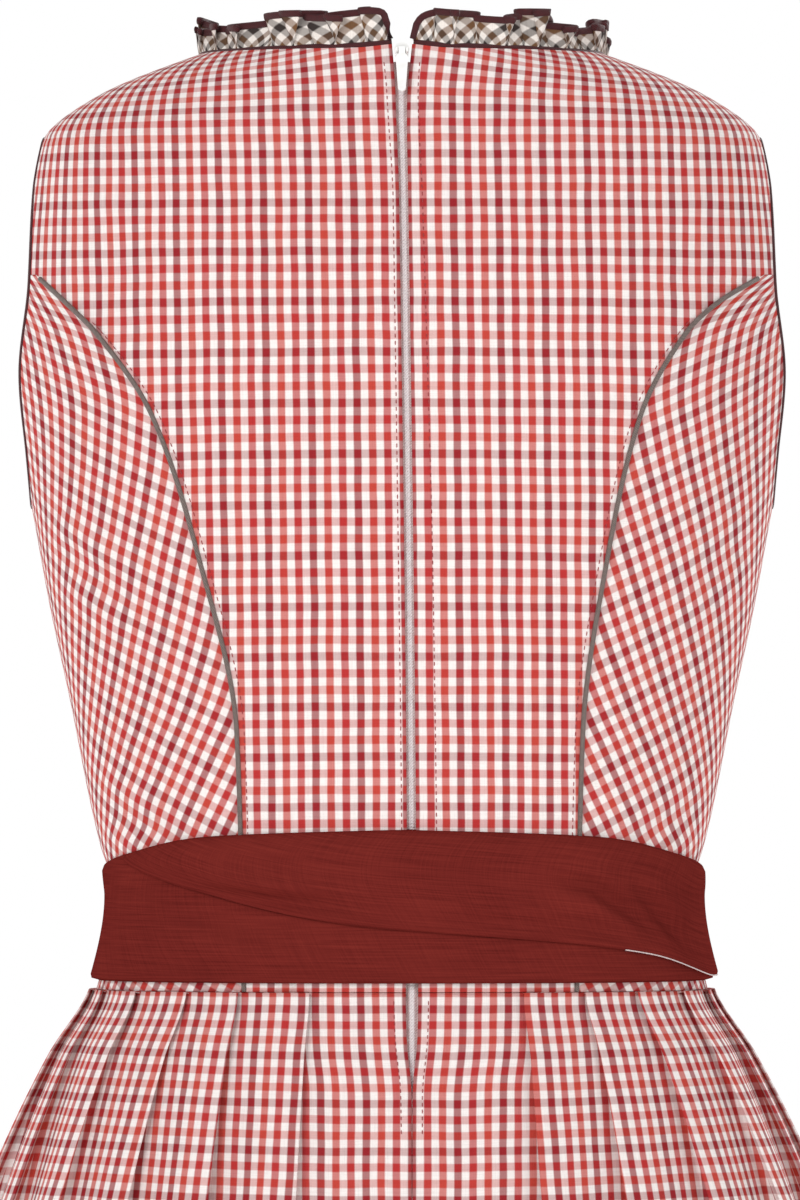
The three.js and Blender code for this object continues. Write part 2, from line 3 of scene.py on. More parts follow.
import bmesh
import bpy
import numpy as np
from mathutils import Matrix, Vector


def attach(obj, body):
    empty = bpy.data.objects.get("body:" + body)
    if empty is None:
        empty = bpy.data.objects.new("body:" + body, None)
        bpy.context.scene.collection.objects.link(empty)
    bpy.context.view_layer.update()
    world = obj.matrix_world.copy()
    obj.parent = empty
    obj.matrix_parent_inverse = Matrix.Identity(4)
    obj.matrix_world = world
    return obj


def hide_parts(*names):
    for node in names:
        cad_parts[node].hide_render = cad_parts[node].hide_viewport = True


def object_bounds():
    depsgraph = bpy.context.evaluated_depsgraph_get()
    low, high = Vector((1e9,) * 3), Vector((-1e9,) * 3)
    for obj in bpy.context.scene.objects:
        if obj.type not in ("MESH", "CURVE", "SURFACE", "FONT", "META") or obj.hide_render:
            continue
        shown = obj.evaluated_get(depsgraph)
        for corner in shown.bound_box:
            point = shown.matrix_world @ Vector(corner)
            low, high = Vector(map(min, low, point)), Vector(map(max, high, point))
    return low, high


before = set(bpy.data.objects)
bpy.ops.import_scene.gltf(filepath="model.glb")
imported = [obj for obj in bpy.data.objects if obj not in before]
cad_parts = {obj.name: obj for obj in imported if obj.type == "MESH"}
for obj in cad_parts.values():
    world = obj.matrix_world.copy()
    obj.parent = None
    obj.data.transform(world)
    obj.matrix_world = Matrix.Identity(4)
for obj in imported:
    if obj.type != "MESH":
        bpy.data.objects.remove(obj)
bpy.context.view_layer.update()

# A sleeveless dirndl dress. The tables are in millimetres above the waist seam, which hangs waistDrop
# below the frame's origin; angles run round from the centre back, + towards the wearer's left.
waistDrop = 380
skirtLength = 570
seamGap = 0.3
roundness = 2.4          # exponent of the level sections
quarterTurn = math.pi / 2
print("frame loaded")


class Wire:
    # a socket of a material that can be used in expressions
    def __init__(self, tree, socket=None):
        self.tree = tree
        self.socket = socket

    # any node: its settings first, then the values or wires of its sockets
    def node(self, kind, settings=None, sockets=None, output=0):
        made = self.tree.nodes.new("ShaderNode" + kind)
        for setting, value in (settings or {}).items():
            if setting == "stops":
                ramp = made.color_ramp
                while len(ramp.elements) < len(value):
                    ramp.elements.new(1)
                for element, (place, colour) in zip(ramp.elements, value):
                    element.position = place
                    element.color = (*colour, 1)
            elif setting == "interpolation":
                made.color_ramp.interpolation = value
            else:
                setattr(made, setting, value)
        for name, value in (sockets or {}).items():
            if isinstance(value, Wire):
                self.tree.links.new(value.socket, made.inputs[name])
            else:
                made.inputs[name].default_value = value
        return Wire(self.tree, made.outputs[output])

    def maths(self, operation, *values):
        return self.node("Math", {"operation": operation}, dict(enumerate(values)))

    def __add__(self, other):
        return self.maths("ADD", self, other)

    def __sub__(self, other):
        return self.maths("SUBTRACT", self, other)

    def __rsub__(self, other):
        return self.maths("SUBTRACT", other, self)

    def __mul__(self, other):
        return self.maths("MULTIPLY", self, other)

    def __truediv__(self, other):
        return self.maths("DIVIDE", self, other)

    __radd__ = __add__
    __rmul__ = __mul__

    def fraction(self):
        return self.maths("FRACT", self)

    def absolute(self):
        return self.maths("ABSOLUTE", self)

    def limited(self):
        return self.node("Clamp", sockets={0: self})

    def sine(self):
        return self.maths("SINE", self)

    # this colour turned towards another by a factor
    def towards(self, other, factor, blend="MIX"):
        settings = {"data_type": "RGBA", "blend_type": blend}
        return self.node("Mix", settings, {0: factor, 6: self, 7: other}, 2)

    def axis(self, number):
        return self.node("SeparateXYZ", sockets={0: self}, output=number)


def linear(red, green, blue):
    # a colour as seen on screen, 0 to 255, turned into light
    def one(value):
        value /= 255
        return value / 12.92 if value <= 0.04045 else ((value + 0.055) / 1.055) ** 2.4
    return tuple(one(value) for value in (red, green, blue))


def newMaterial(name, shader, paint):
    # shader holds values of the shader's own sockets; paint gives colour, roughness and relief
    material = bpy.data.materials.new(name)
    material.use_nodes = True
    tree = material.node_tree
    principled = tree.nodes["Principled BSDF"]
    for socket, value in shader.items():
        principled.inputs[socket].default_value = value
    colour, roughness, relief, depth = paint(Wire(tree))
    tree.links.new(colour.socket, principled.inputs["Base Color"])
    tree.links.new(roughness.socket, principled.inputs["Roughness"])
    bump = Wire(tree).node("Bump", sockets={"Distance": depth, "Strength": 1.0, "Height": relief})
    tree.links.new(bump.socket, principled.inputs["Normal"])
    return material


def grainOf(wire):
    # millimetres across and along the cloth
    grain = wire.node("UVMap", {"uv_map": "clothGrain"})
    return grain, grain.axis(0) * 1000, grain.axis(1) * 1000


ginghamLook = {
    "acrossPitch": 6.4, "alongPitch": 7.2,
    "white": linear(246, 239, 236),
    "warp": [linear(152, 38, 44), linear(186, 52, 52), linear(198, 72, 60)],
    "weft": [linear(196, 70, 60), linear(188, 54, 54), linear(154, 40, 46)],
    "warpOverWhite": 0.8, "weftOverWhite": 0.5,
    "wander": 0.35,      # how far the threads wander
}


def stripeMask(place, sharpness=12):
    # 1 on a stripe, 0 between two; the stripes lie on whole numbers
    return (((place.fraction() - 0.5).absolute() - 0.25) * sharpness + 0.5).limited()


def stripeColour(place, colours):
    count = len(colours)
    stops = [(number / count, colour) for number, colour in enumerate(colours)]
    turn = ((place + 0.5) / count).fraction()
    return turn.node("ValToRGB", {"interpolation": "CONSTANT", "stops": stops}, {0: turn})


def threadStreaks(wire, grain, acrossScale, alongScale):
    # uneven threads: noise drawn out along one way of the cloth
    drawn = wire.node("VectorMath", {"operation": "MULTIPLY"}, {0: grain, 1: (acrossScale, alongScale, 1)})
    return wire.node("TexNoise", {"noise_dimensions": "2D"}, {"Vector": drawn, "Scale": 1.0, "Detail": 2.0})


def paintGingham(look, turn=0.0):
    def paint(wire):
        grain, across, along = grainOf(wire)
        if turn:
            cosine, sine = math.cos(math.radians(turn)), math.sin(math.radians(turn))
            across, along = across * cosine + along * sine, along * cosine - across * sine
        wander = wire.node("TexNoise", {"noise_dimensions": "2D"}, {"Vector": grain, "Scale": 45.0})
        warpPlace = (across + (wander - 0.5) * look["wander"] * 2) / look["acrossPitch"]
        weftPlace = (along + (wander - 0.5) * look["wander"] * 2) / look["alongPitch"]
        warp, weft = stripeColour(warpPlace, look["warp"]), stripeColour(weftPlace, look["weft"])
        warpMask, weftMask = stripeMask(warpPlace), stripeMask(weftPlace)
        white = wire.node("RGB")
        white.socket.default_value = (*look["white"], 1)
        over = look["warpOverWhite"]
        cloth = white.towards(warp, warpMask * (over + (1 - over) * weftMask))
        cloth = cloth.towards(weft, weftMask * (look["weftOverWhite"] + 0.06 * warpMask))
        warpThreads = threadStreaks(wire, grain, 2600, 60)
        weftThreads = threadStreaks(wire, grain, 60, 2600)
        threads = (warpThreads + weftThreads) * 0.5
        shade = wire.node("ValToRGB", {"stops": [(0.3, (0.86, 0.84, 0.84)), (0.62, (1, 1, 1))]}, {0: threads})
        return cloth.towards(shade, 0.8, "MULTIPLY"), threads * 0.2 + 0.72, threads, 0.0003
    return paint


cottonShader = {"Specular IOR Level": 0.1}
gingham = newMaterial("gingham_straight", cottonShader, paintGingham(ginghamLook))
ginghamBias = newMaterial("gingham_slanted", cottonShader, paintGingham(ginghamLook, turn=28))

ruffleLook = {
    "acrossPitch": 5.6, "alongPitch": 5.6, "white": linear(240, 233, 226),
    "warp": [linear(58, 50, 48), linear(118, 84, 58)],
    "weft": [linear(62, 54, 52), linear(114, 84, 60)],
    "warpOverWhite": 0.68, "weftOverWhite": 0.56, "wander": 0.3,
}
ruffleCheck = newMaterial("ruffle_check", cottonShader, paintGingham(ruffleLook, turn=45))


def paintTaffeta(wire):
    grain = grainOf(wire)[0]
    crosswise = threadStreaks(wire, grain, 30, 1500)
    lengthwise = threadStreaks(wire, grain, 1500, 40)
    cloudy = wire.node("TexNoise", {"noise_dimensions": "2D"}, {"Vector": grain, "Scale": 18.0})
    tone = crosswise * 0.5 + lengthwise * 0.3 + cloudy * 0.2
    colour = wire.node("ValToRGB", {"stops": [
        (0.30, linear(92, 29, 26)), (0.5, linear(108, 36, 32)), (0.72, linear(121, 43, 37))]}, {0: tone})
    return colour, crosswise * 0.14 + 0.4, crosswise * 0.6 + lengthwise * 0.4, 0.0002


taffeta = newMaterial("burgundy_taffeta", {
    "Specular IOR Level": 0.0}, paintTaffeta)


def paintTrim(dark, light, pitch, depth=0.0004):
    # a narrow strip of bias cloth with a slanting twill
    def paint(wire):
        grain, across, along = grainOf(wire)
        twill = ((across + along) * (2 * math.pi / pitch)).sine() * 0.5 + 0.5
        fibres = wire.node("TexNoise", {"noise_dimensions": "2D"}, {"Vector": grain, "Scale": 700.0})
        tone = twill * 0.5 + fibres * 0.5
        colour = wire.node("ValToRGB", {"stops": [(0.2, dark), (0.8, light)]}, {0: tone})
        return colour, fibres * 0.25 + 0.5, tone, depth
    return paint


trimShader = {"Specular IOR Level": 0.35, "Sheen Weight": 0.05, "Sheen Roughness": 0.4}
burgundyTrim = newMaterial("burgundy_binding", trimShader,
                           paintTrim(linear(54, 19, 23), linear(86, 31, 35), 0.9))
taupeTrim = newMaterial("taupe_piping", trimShader, paintTrim(linear(96, 84, 80), linear(136, 122, 116), 0.9))
tapeCloth = newMaterial("zip_tape_cloth", trimShader,
                        paintTrim(linear(196, 176, 176), linear(226, 208, 206), 1.1, 0.0003))
coilNylon = newMaterial("zip_coil_nylon", {"Specular IOR Level": 0.5},
                        paintTrim(linear(214, 204, 206), linear(240, 234, 234), 1.3, 0.0002))
redThread = newMaterial("red_thread", {"Sheen Weight": 0.2},
                        paintTrim(linear(138, 36, 42), linear(182, 58, 60), 0.5, 0.0002))


def paintPlastic(wire):
    place = wire.node("TexCoord", output=3)
    flow = wire.node("TexNoise", sockets={"Vector": place, "Scale": 260.0, "Detail": 3.0})
    stops = [(0.3, linear(240, 239, 236)), (0.7, linear(252, 252, 251))]
    colour = wire.node("ValToRGB", {"stops": stops}, {0: flow})
    return colour, flow * 0.12 + 0.28, flow, 0.00005


zipPlastic = newMaterial("white_zip_plastic", {"Specular IOR Level": 0.5, "Coat Weight": 0.2}, paintPlastic)
print("materials made")


figure = {       # half sizes of the level sections, from the neck down to the hem
    "height": [404, 400, 382, 365, 356, 342, 301, 263, 228, 205, 164, 122, 79, 62, 40, 0, -28, -70,
               -150, -350, -skirtLength],
    "side": [74, 87, 131, 153, 156.5, 160, 167.3, 169, 163, 158.5, 151, 142, 133.5, 129.5, 123.5, 131,
             147, 165.5, 193, 250, 300],
    "back": [74, 75.8, 83, 90, 93, 97, 108, 112.5, 112.8, 111, 106.5, 99, 91, 88.5, 86, 89.5, 101, 118,
             146, 205, 258],
    "front": [58, 59.5, 65, 72, 77, 85, 107, 125, 137, 141, 139.5, 127, 111.5, 107, 102, 105, 112,
              123.5, 147, 203, 256],
}
opening = {      # the centre-back opening: its middle and half its width
    "height": [404, 380, 340, 60, 0, -18, -44, -skirtLength],
    "middle": [0, 0.3, -0.6, -4, -4.2, -4.2, -4.2, -4.2],
    "half": [4.4, 2.4, 1.9, 1.9, 2.6, 2.3, 0.15, 0.15],
}
princess = {     # distance of the princess seams from the middle
    "height": [306, 292, 280, 245, 188, 110, 0],
    "backLeft": [157, 142, 130, 106, 87, 70, 67],
    "backRight": [156, 133, 120.5, 101, 87.5, 76.5, 74],
    "front": [147.6, 128, 116, 97, 86, 72, 60],
}
armhole = {
    "height": [365, 356, 342, 301, 263, 228, 214, 205],
    "back": [153, 155, 157, 158.5, 162.6, 159.9, 158.9, 158.5],
    "front": [153, 150.5, 149, 147.5, 151, 156.5, 158.5, 158.5],
}
shoulderTip, neckSide, underarm, princessTop = 365, 400, 205, 305
backNeck = {"share": [0, 0.1, 0.5, 1], "height": [402.5, 401, 400.5, neckSide]}
frontNeck = {
    "share": [0, 0.22, 0.42, 0.52, 0.565, 0.66, 0.8, 1],
    "height": [290, 293, 308, 332, 360, 378, 391, neckSide],
}


def valueAt(table, place, column, key="height"):
    # a smooth curve through a column of a table, which never overshoots its rows
    at, value = np.array(table[key], float), np.array(table[column], float)
    if at[0] > at[-1]:
        at, value = at[::-1], value[::-1]
    slope = np.diff(value) / np.diff(at)
    product, total = slope[:-1] * slope[1:], slope[:-1] + slope[1:]
    inner = np.where(product > 0, 2 * product / np.where(total == 0, 1, total), 0)
    tangent = np.concatenate([slope[:1], inner, slope[-1:]])
    place = np.clip(place, at[0], at[-1])
    row = np.clip(np.searchsorted(at, place) - 1, 0, len(at) - 2)
    span = at[row + 1] - at[row]
    t = (place - at[row]) / span
    near = value[row] * (1 + 2 * t) * (1 - t) ** 2 + value[row + 1] * t * t * (3 - 2 * t)
    return near + span * (tangent[row] * t * (1 - t) ** 2 - tangent[row + 1] * t * t * (1 - t))


def mix(start, end, share):
    return start + (end - start) * share


def figurePoint(angle, height):
    angle, height = np.broadcast_arrays(np.asarray(angle, float), np.asarray(height, float))
    sine, cosine, power = np.sin(angle), np.cos(angle), 2 / roundness
    depth = np.where(cosine > 0, valueAt(figure, height, "back"), valueAt(figure, height, "front"))
    across = valueAt(figure, height, "side") * np.sign(sine) * np.abs(sine) ** power
    return np.stack([across, depth * np.sign(cosine) * np.abs(cosine) ** power, height], axis=-1)


def unit(vectors):
    return vectors / np.maximum(np.linalg.norm(vectors, axis=-1, keepdims=True), 1e-9)


def figureNormal(angle, height):
    turn, rise = 0.02, 1
    around = figurePoint(angle + turn, height) - figurePoint(angle - turn, height)
    up = figurePoint(angle, height + rise) - figurePoint(angle, height - rise)
    return unit(np.cross(up, around))


def clothPoint(spots):
    # a pleat stands off the figure on the level, and cloth is lifted along the figure's normal
    normal = figureNormal(spots["angle"], spots["height"])
    level = unit(normal * [1, 1, 0])
    raised = level * spots["stand"][..., None] + normal * spots["lift"][..., None]
    return figurePoint(spots["angle"], spots["height"]) + raised, normal


def angleOfX(x, height):
    share = np.minimum(1, np.abs(x) / valueAt(figure, height, "side"))
    return np.sign(x) * np.arcsin(share ** (roundness / 2))


def alongSection(angle, height, distance):
    start = figurePoint(angle, height)
    step = np.full(np.shape(height), distance / 120)
    for _ in range(8):
        reach = np.linalg.norm(figurePoint(angle + step, height) - start, axis=-1)
        step = step * abs(distance) / np.maximum(reach, 1e-9)
    return angle + step


def openingEdge(height, side):
    middle = valueAt(opening, height, "middle")
    return side * angleOfX(middle + side * valueAt(opening, height, "half"), height)


def princessEdge(height, face, side):
    column = "front" if face == "front" else "backLeft" if side > 0 else "backRight"
    return angleOfX(valueAt(princess, height, column), height)


def armholeEdge(height, face):
    inside = (height < shoulderTip) & (height > underarm)
    return np.where(inside, angleOfX(valueAt(armhole, height, face), height), quarterTurn)


def angleRound(fromMiddle, face, side):
    return side * (fromMiddle if face == "back" else math.pi - fromMiddle)


def outerEdge(height, face, side):
    # princess seam, then armhole, then shoulder seam
    seam = alongSection(princessEdge(height, face, side), height, -seamGap / 2)
    shoulder = alongSection(np.full(np.shape(height), quarterTurn), height, -seamGap / 2)
    above = np.where(height < shoulderTip, armholeEdge(height, face), shoulder)
    return np.where(height < princessTop, seam, above)


turnDepths = np.array([0.4, 1.3, 3.2])     # how the cloth's edges turn in at a seam


def spotGrid(angle, height, **more):
    angle, height = np.broadcast_arrays(angle, height)
    spots = {"angle": angle.astype(float), "height": height.astype(float)}
    for key in ("stand", "lift", "across", "along"):
        spots[key] = np.broadcast_to(more.get(key, 0.0), angle.shape).astype(float)
    return spots


def measureGrain(spots):
    # millimetres across from the first column, and up from the first row at an even angle
    flat = figurePoint(spots["angle"], spots["height"])
    stepAcross = np.linalg.norm(np.diff(flat, axis=1) * [1, 1, 0.3], axis=-1)
    spots["across"] = np.pad(np.cumsum(stepAcross, axis=1), ((0, 0), (1, 0)))
    middle = (spots["angle"][1:] + spots["angle"][:-1]) / 2
    rise = figurePoint(middle, spots["height"][1:]) - figurePoint(middle, spots["height"][:-1])
    spots["along"] = np.pad(np.cumsum(np.linalg.norm(rise, axis=-1), axis=0), ((1, 0), (0, 0)))
    return spots


def turnIn(spots, left=True, right=True, bottom=False, top=False):
    # adds rows and columns that turn the cloth's edges in
    count = len(turnDepths)
    pad = ((bottom * count, top * count), (left * count, right * count))
    wide = {key: np.pad(values, pad, mode="edge") for key, values in spots.items()}
    back = turnDepths[::-1]
    for sided, key, first, last in (((left, right), "across", np.s_[:, :count], np.s_[:, -count:]),
                                    ((bottom, top), "along", np.s_[:count, :], np.s_[-count:, :])):
        shape = (1, -1) if key == "across" else (-1, 1)
        if sided[0]:
            wide["lift"][first] -= back.reshape(shape)
            wide[key][first] -= back.reshape(shape)
        if sided[1]:
            wide["lift"][last] -= turnDepths.reshape(shape)
            wide[key][last] += turnDepths.reshape(shape)
    return wide


def pathDistance(across, height, path):
    # distance to a bent line and the share of the way along it
    path = np.array(path, float)
    lengths = np.linalg.norm(np.diff(path, axis=0), axis=1)
    total, walked = lengths.sum(), 0.0
    best, share = np.full(across.shape, 1e9), np.zeros(across.shape)
    for start, end, length in zip(path[:-1], path[1:], lengths):
        way = (end - start) / length
        t = np.clip((across - start[0]) * way[0] + (height - start[1]) * way[1], 0, length)
        distance = np.hypot(across - start[0] - way[0] * t, height - start[1] - way[1] * t)
        nearer = distance < best
        best, share = np.where(nearer, distance, best), np.where(nearer, (walked + t) / total, share)
        walked += length
    return best, share


def creaseDepth(points, creases):
    # each crease: its path as (x, height), width and depth, and the face of the dress that it lies on
    total = np.zeros(points.shape[:-1])
    for crease in creases:
        distance, share = pathDistance(points[..., 0], points[..., 2], crease["path"])
        fade = np.clip(4 * share * (1 - share), 0, 1) ** 0.7
        onFace = points[..., 1] > 0 if crease.get("face", "back") == "back" else points[..., 1] < 0
        total += np.where(onFace, crease["depth"] * fade * np.exp(-(distance / crease["width"]) ** 2), 0)
    return total


def toFrame(points):
    return (points - [0, 0, waistDrop]) / 1000


def placePiece(name, mesh, material, nodes, body="dress"):
    piece = bpy.data.objects.new(name, mesh)
    bpy.context.scene.collection.objects.link(piece)
    mesh.materials.append(material)
    mesh.shade_smooth()
    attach(piece, body)
    if nodes:
        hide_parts(*nodes)
    return piece


def gridMesh(name, points, across, along, acrossEnd=None, closedRound=False):
    # a mesh of rows and columns, facing away from the body's axis
    rows, columns = points.shape[:2]
    spans = columns if closedRound else columns - 1
    r, c = np.meshgrid(np.arange(rows - 1), np.arange(spans), indexing="ij")
    nextColumn = (c + 1) % columns
    corners = np.stack([r * columns + c, r * columns + nextColumn, (r + 1) * columns + nextColumn,
                        (r + 1) * columns + c], axis=-1).reshape(-1, 4)
    flat = points.reshape(-1, 3)
    quads = flat[corners]
    facing = np.cross(quads[:, 2] - quads[:, 0], quads[:, 3] - quads[:, 1])
    outward = (facing * quads.mean(axis=1) * [1, 1, 0]).sum()
    endAcross = across if acrossEnd is None else acrossEnd
    if closedRound:
        endAcross = np.concatenate([across[:, 1:], 2 * across[:, -1:] - across[:, -2:-1]], axis=1)
    else:
        endAcross = endAcross[:, 1:]
    grain = np.stack([
        np.stack([across[:-1, :spans], along[:-1, :spans]], axis=-1),
        np.stack([endAcross[:-1], along[:-1, nextColumn[0]]], axis=-1),
        np.stack([endAcross[1:], along[1:, nextColumn[0]]], axis=-1),
        np.stack([across[1:, :spans], along[1:, :spans]], axis=-1)], axis=2).reshape(-1, 4, 2) / 1000
    sheet = np.stack([
        np.stack([(c + 1 * (k in (1, 2))) / spans, (r + 1 * (k in (2, 3))) / (rows - 1)], axis=-1)
        for k in range(4)], axis=2).reshape(-1, 4, 2)
    if outward < 0:
        corners, grain, sheet = corners[:, ::-1], grain[:, ::-1], sheet[:, ::-1]
    mesh = bpy.data.meshes.new(name)
    mesh.from_pydata(toFrame(flat).tolist(), [], corners.tolist())
    for layerName, values in (("OFBake", sheet * 0.996 + 0.002), ("clothGrain", grain)):
        layer = mesh.uv_layers.new(name=layerName)
        layer.data.foreach_set("uv", np.ascontiguousarray(values, dtype=np.float32).ravel())
    return mesh


def clothPiece(name, spots, material, creases=(), closedRound=False):
    points, normal = clothPoint(spots)
    points = points + normal * creaseDepth(points, creases)[..., None]
    mesh = gridMesh(name + "_cloth", points, spots["across"], spots["along"], spots.get("acrossEnd"),
                    closedRound)
    piece = placePiece(name + "_cloth", mesh, material, [name])
    return piece


def fineShares(count):
    # even shares with one more close to each end
    return np.concatenate([[0, 0.25 / count], np.arange(1, count) / count, [1 - 0.25 / count, 1]])


def pathFrames(points, over, closedRound=False):
    # side and over at each point; side lies in the cloth, to the left of the way along
    if closedRound:
        way = np.roll(points, -1, axis=0) - np.roll(points, 1, axis=0)
    else:
        way = np.gradient(points, axis=0)
    out = unit(np.cross(way, over))
    return out, over


def sweptPiece(name, points, over, section, material, nodes, closedRound=False):
    # section: places (out, over) round a closed strip
    out, over = pathFrames(points, over, closedRound)
    section = np.array(section, float)
    section = section if section.ndim == 3 else np.broadcast_to(section, (len(points), *section.shape))
    rings = points[:, None] + out[:, None] * section[..., :1] + over[:, None] * section[..., 1:]
    rings = np.concatenate([rings, rings[:, :1]], axis=1)
    if closedRound:
        rings = np.concatenate([rings, rings[:1]], axis=0)
    else:
        rings = np.concatenate([rings[:1].mean(axis=1, keepdims=True) + 0 * rings[:1], rings,
                                rings[-1:].mean(axis=1, keepdims=True) + 0 * rings[-1:]], axis=0)
    steps = np.linalg.norm(np.diff(rings[:, 0], axis=0), axis=-1)
    along = np.broadcast_to(np.pad(np.cumsum(steps), (1, 0))[:, None], rings.shape[:2])
    around = np.linalg.norm(np.diff(rings, axis=1), axis=-1)
    across = np.pad(np.cumsum(around, axis=1), ((0, 0), (1, 0)))
    mesh = gridMesh(name, rings, across, along)
    joinDoubles(mesh)
    return placePiece(name, mesh, material, nodes)


def joinDoubles(mesh):
    working = bmesh.new()
    working.from_mesh(mesh)
    bmesh.ops.remove_doubles(working, verts=working.verts, dist=0.000002)
    bmesh.ops.recalc_face_normals(working, faces=working.faces)
    working.to_mesh(mesh)
    working.free()


def roundedSection(width, height, foot, sides=12, corner=2.6):
    # a flattened round section, standing on foot
    turn = np.arange(sides) * 2 * math.pi / sides
    bend = lambda value: np.sign(value) * np.abs(value) ** (2 / corner)
    across, up = bend(np.cos(turn)) * width / 2, bend(np.sin(turn)) * height / 2
    return np.stack([across, up + foot + height / 2], axis=-1)


stitchLook = {"length": 2.3, "pitch": 3.1, "thickness": 0.42}


def stitchPiece(name, lines, material):
    # running stitches: short rods that dip into the cloth at both ends
    verts, faces, sides = [], [], 5
    for points, over in lines:
        steps = np.linalg.norm(np.diff(points, axis=0), axis=-1)
        walked = np.pad(np.cumsum(steps), (1, 0))
        starts = np.arange(0.5, walked[-1] - stitchLook["length"], stitchLook["pitch"])
        for start in starts:
            places = start + stitchLook["length"] * np.array([0, 0.25, 0.75, 1])
            middle = np.stack([np.interp(places, walked, points[:, k]) for k in range(3)], axis=-1)
            normal = unit(np.stack([np.interp(places, walked, over[:, k]) for k in range(3)], axis=-1))
            middle = middle + normal * np.array([-0.25, 0.16, 0.16, -0.25])[:, None]
            side = unit(np.cross(unit(middle[-1] - middle[0]), normal))
            base = len(verts)
            for ring, thick in enumerate((0.3, 1, 1, 0.3)):
                for k in range(sides):
                    turn = 2 * math.pi * k / sides
                    radius = stitchLook["thickness"] / 2 * thick
                    spoke = side[ring] * math.cos(turn) + normal[ring] * math.sin(turn)
                    verts.append(tuple(toFrame(middle[ring] + spoke * radius)))
            for ring in range(3):
                for k in range(sides):
                    a, b = base + ring * sides + k, base + ring * sides + (k + 1) % sides
                    faces.append((a, b, b + sides, a + sides))
    mesh = bpy.data.meshes.new(name)
    mesh.from_pydata(verts, [], faces)
    layer = mesh.uv_layers.new(name="clothGrain")
    flat = np.array([verts[loop.vertex_index] for loop in mesh.loops])[:, [0, 2]]
    layer.data.foreach_set("uv", np.ascontiguousarray(flat, dtype=np.float32).ravel())
    return placePiece(name, mesh, material, [])


def lineOn(angle, height, lift=0.0):
    # a line drawn on the cloth: its points and the cloth's normals
    spots = spotGrid(angle, height, lift=lift)
    return clothPoint(spots)


bodice = {
    "rowStep": 3.0, "columns": 56, "sideColumns": 34, "frontColumns": 96,
    "creases": [     # soft troughs (-) and ridges (+), where the cloth strains
        {"path": [(146, 190), (132, 178), (116, 164)], "width": 7, "depth": -1.6},
        {"path": [(147, 202), (134, 191), (120, 180)], "width": 6, "depth": 1.2},
        {"path": [(143, 172), (128, 163), (118, 152)], "width": 6, "depth": 1.1},
        {"path": [(126, 78), (112, 70), (92, 66)], "width": 5, "depth": -1.4},
        {"path": [(127, 66), (110, 61), (90, 58)], "width": 4, "depth": 1.3},
        {"path": [(128, 92), (116, 84), (100, 80)], "width": 5, "depth": 1.0},
        {"path": [(-126, 80), (-112, 70), (-96, 66)], "width": 5, "depth": -1.2},
        {"path": [(-127, 64), (-112, 60), (-96, 57)], "width": 4, "depth": 1.2},
        {"path": [(-148, 196), (-136, 184), (-120, 172)], "width": 8, "depth": -1.0},
        {"path": [(118, 330), (128, 300), (134, 268)], "width": 12, "depth": -1.4},
        {"path": [(-118, 330), (-128, 300), (-134, 268)], "width": 12, "depth": -1.2},
        {"path": [(12, 380), (11, 300), (10, 220)], "width": 3, "depth": 0.5},
        {"path": [(-15, 380), (-16, 300), (-17, 220)], "width": 3, "depth": 0.5},
        {"path": [(110, 190), (126, 178), (140, 172)], "width": 9, "depth": -1.6, "face": "front"},
        {"path": [(-112, 200), (-126, 186), (-140, 180)], "width": 9, "depth": -1.4, "face": "front"},
        {"path": [(60, 88), (84, 78), (112, 76)], "width": 6, "depth": -1.3, "face": "front"},
        {"path": [(-58, 84), (-86, 76), (-112, 78)], "width": 6, "depth": -1.3, "face": "front"},
        {"path": [(20, 92), (26, 76), (30, 60)], "width": 7, "depth": 0.9, "face": "front"},
        {"path": [(-24, 96), (-28, 78), (-36, 62)], "width": 7, "depth": 0.8, "face": "front"},
    ],
}
bodiceFoot = seamGap / 2
levelTop = 380           # the rows above this one bend up to the neck edge


def bodiceLevels(top):
    # even rows, with two more close to where the princess seams meet the armholes
    even = np.linspace(bodiceFoot, top, int(top / bodice["rowStep"]))
    close = [level for level in (princessTop - 0.05, princessTop + 0.05) if level < top]
    return np.sort(np.concatenate([even, close]))


def makeBackPanel(name, side):
    share = fineShares(bodice["columns"])[None, :]
    levels = bodiceLevels(levelTop)[:, None] + 0 * share
    neck = valueAt(backNeck, share, "height", "share")
    bent = np.concatenate([mix(levelTop, neck, k / 6) for k in range(1, 7)], axis=0)
    height = np.concatenate([levels, bent], axis=0)
    fromMiddle = mix(openingEdge(height, side), outerEdge(height, "back", side), share)
    spots = measureGrain(spotGrid(angleRound(fromMiddle, "back", side), height))
    spots = turnIn(spots, bottom=True)
    return clothPiece(name, spots, gingham, bodice["creases"])


def frontSpots(signedShare, height):
    # the share of the width, as an angle round from the centre back
    side = np.where(signedShare < 0, -1, 1)
    edge = np.where(side > 0, outerEdge(height, "front", 1), outerEdge(height, "front", -1))
    widthShare = np.abs(signedShare) ** (roundness / 2) * np.sin(edge)
    return math.pi - side * np.arcsin(np.minimum(1, widthShare))


def makeFrontPanel(name):
    half = fineShares(bodice["frontColumns"] // 2)
    share = np.concatenate([-half[:0:-1], half])[None, :]
    neck = valueAt(frontNeck, np.abs(share), "height", "share")
    level = np.concatenate([bodiceLevels(levelTop), mix(levelTop, neckSide, np.arange(1, 7) / 6)])[:, None]
    height = np.maximum(level * neck / neckSide, bodiceFoot)
    spots = measureGrain(spotGrid(frontSpots(share, height), height))
    middle = share.shape[1] // 2
    spots["across"] = np.abs(spots["across"] - spots["across"][:, middle:middle + 1])
    spots["along"] = spots["height"] * 1.04
    spots = turnIn(spots, bottom=True)
    return clothPiece(name, spots, gingham, bodice["creases"])


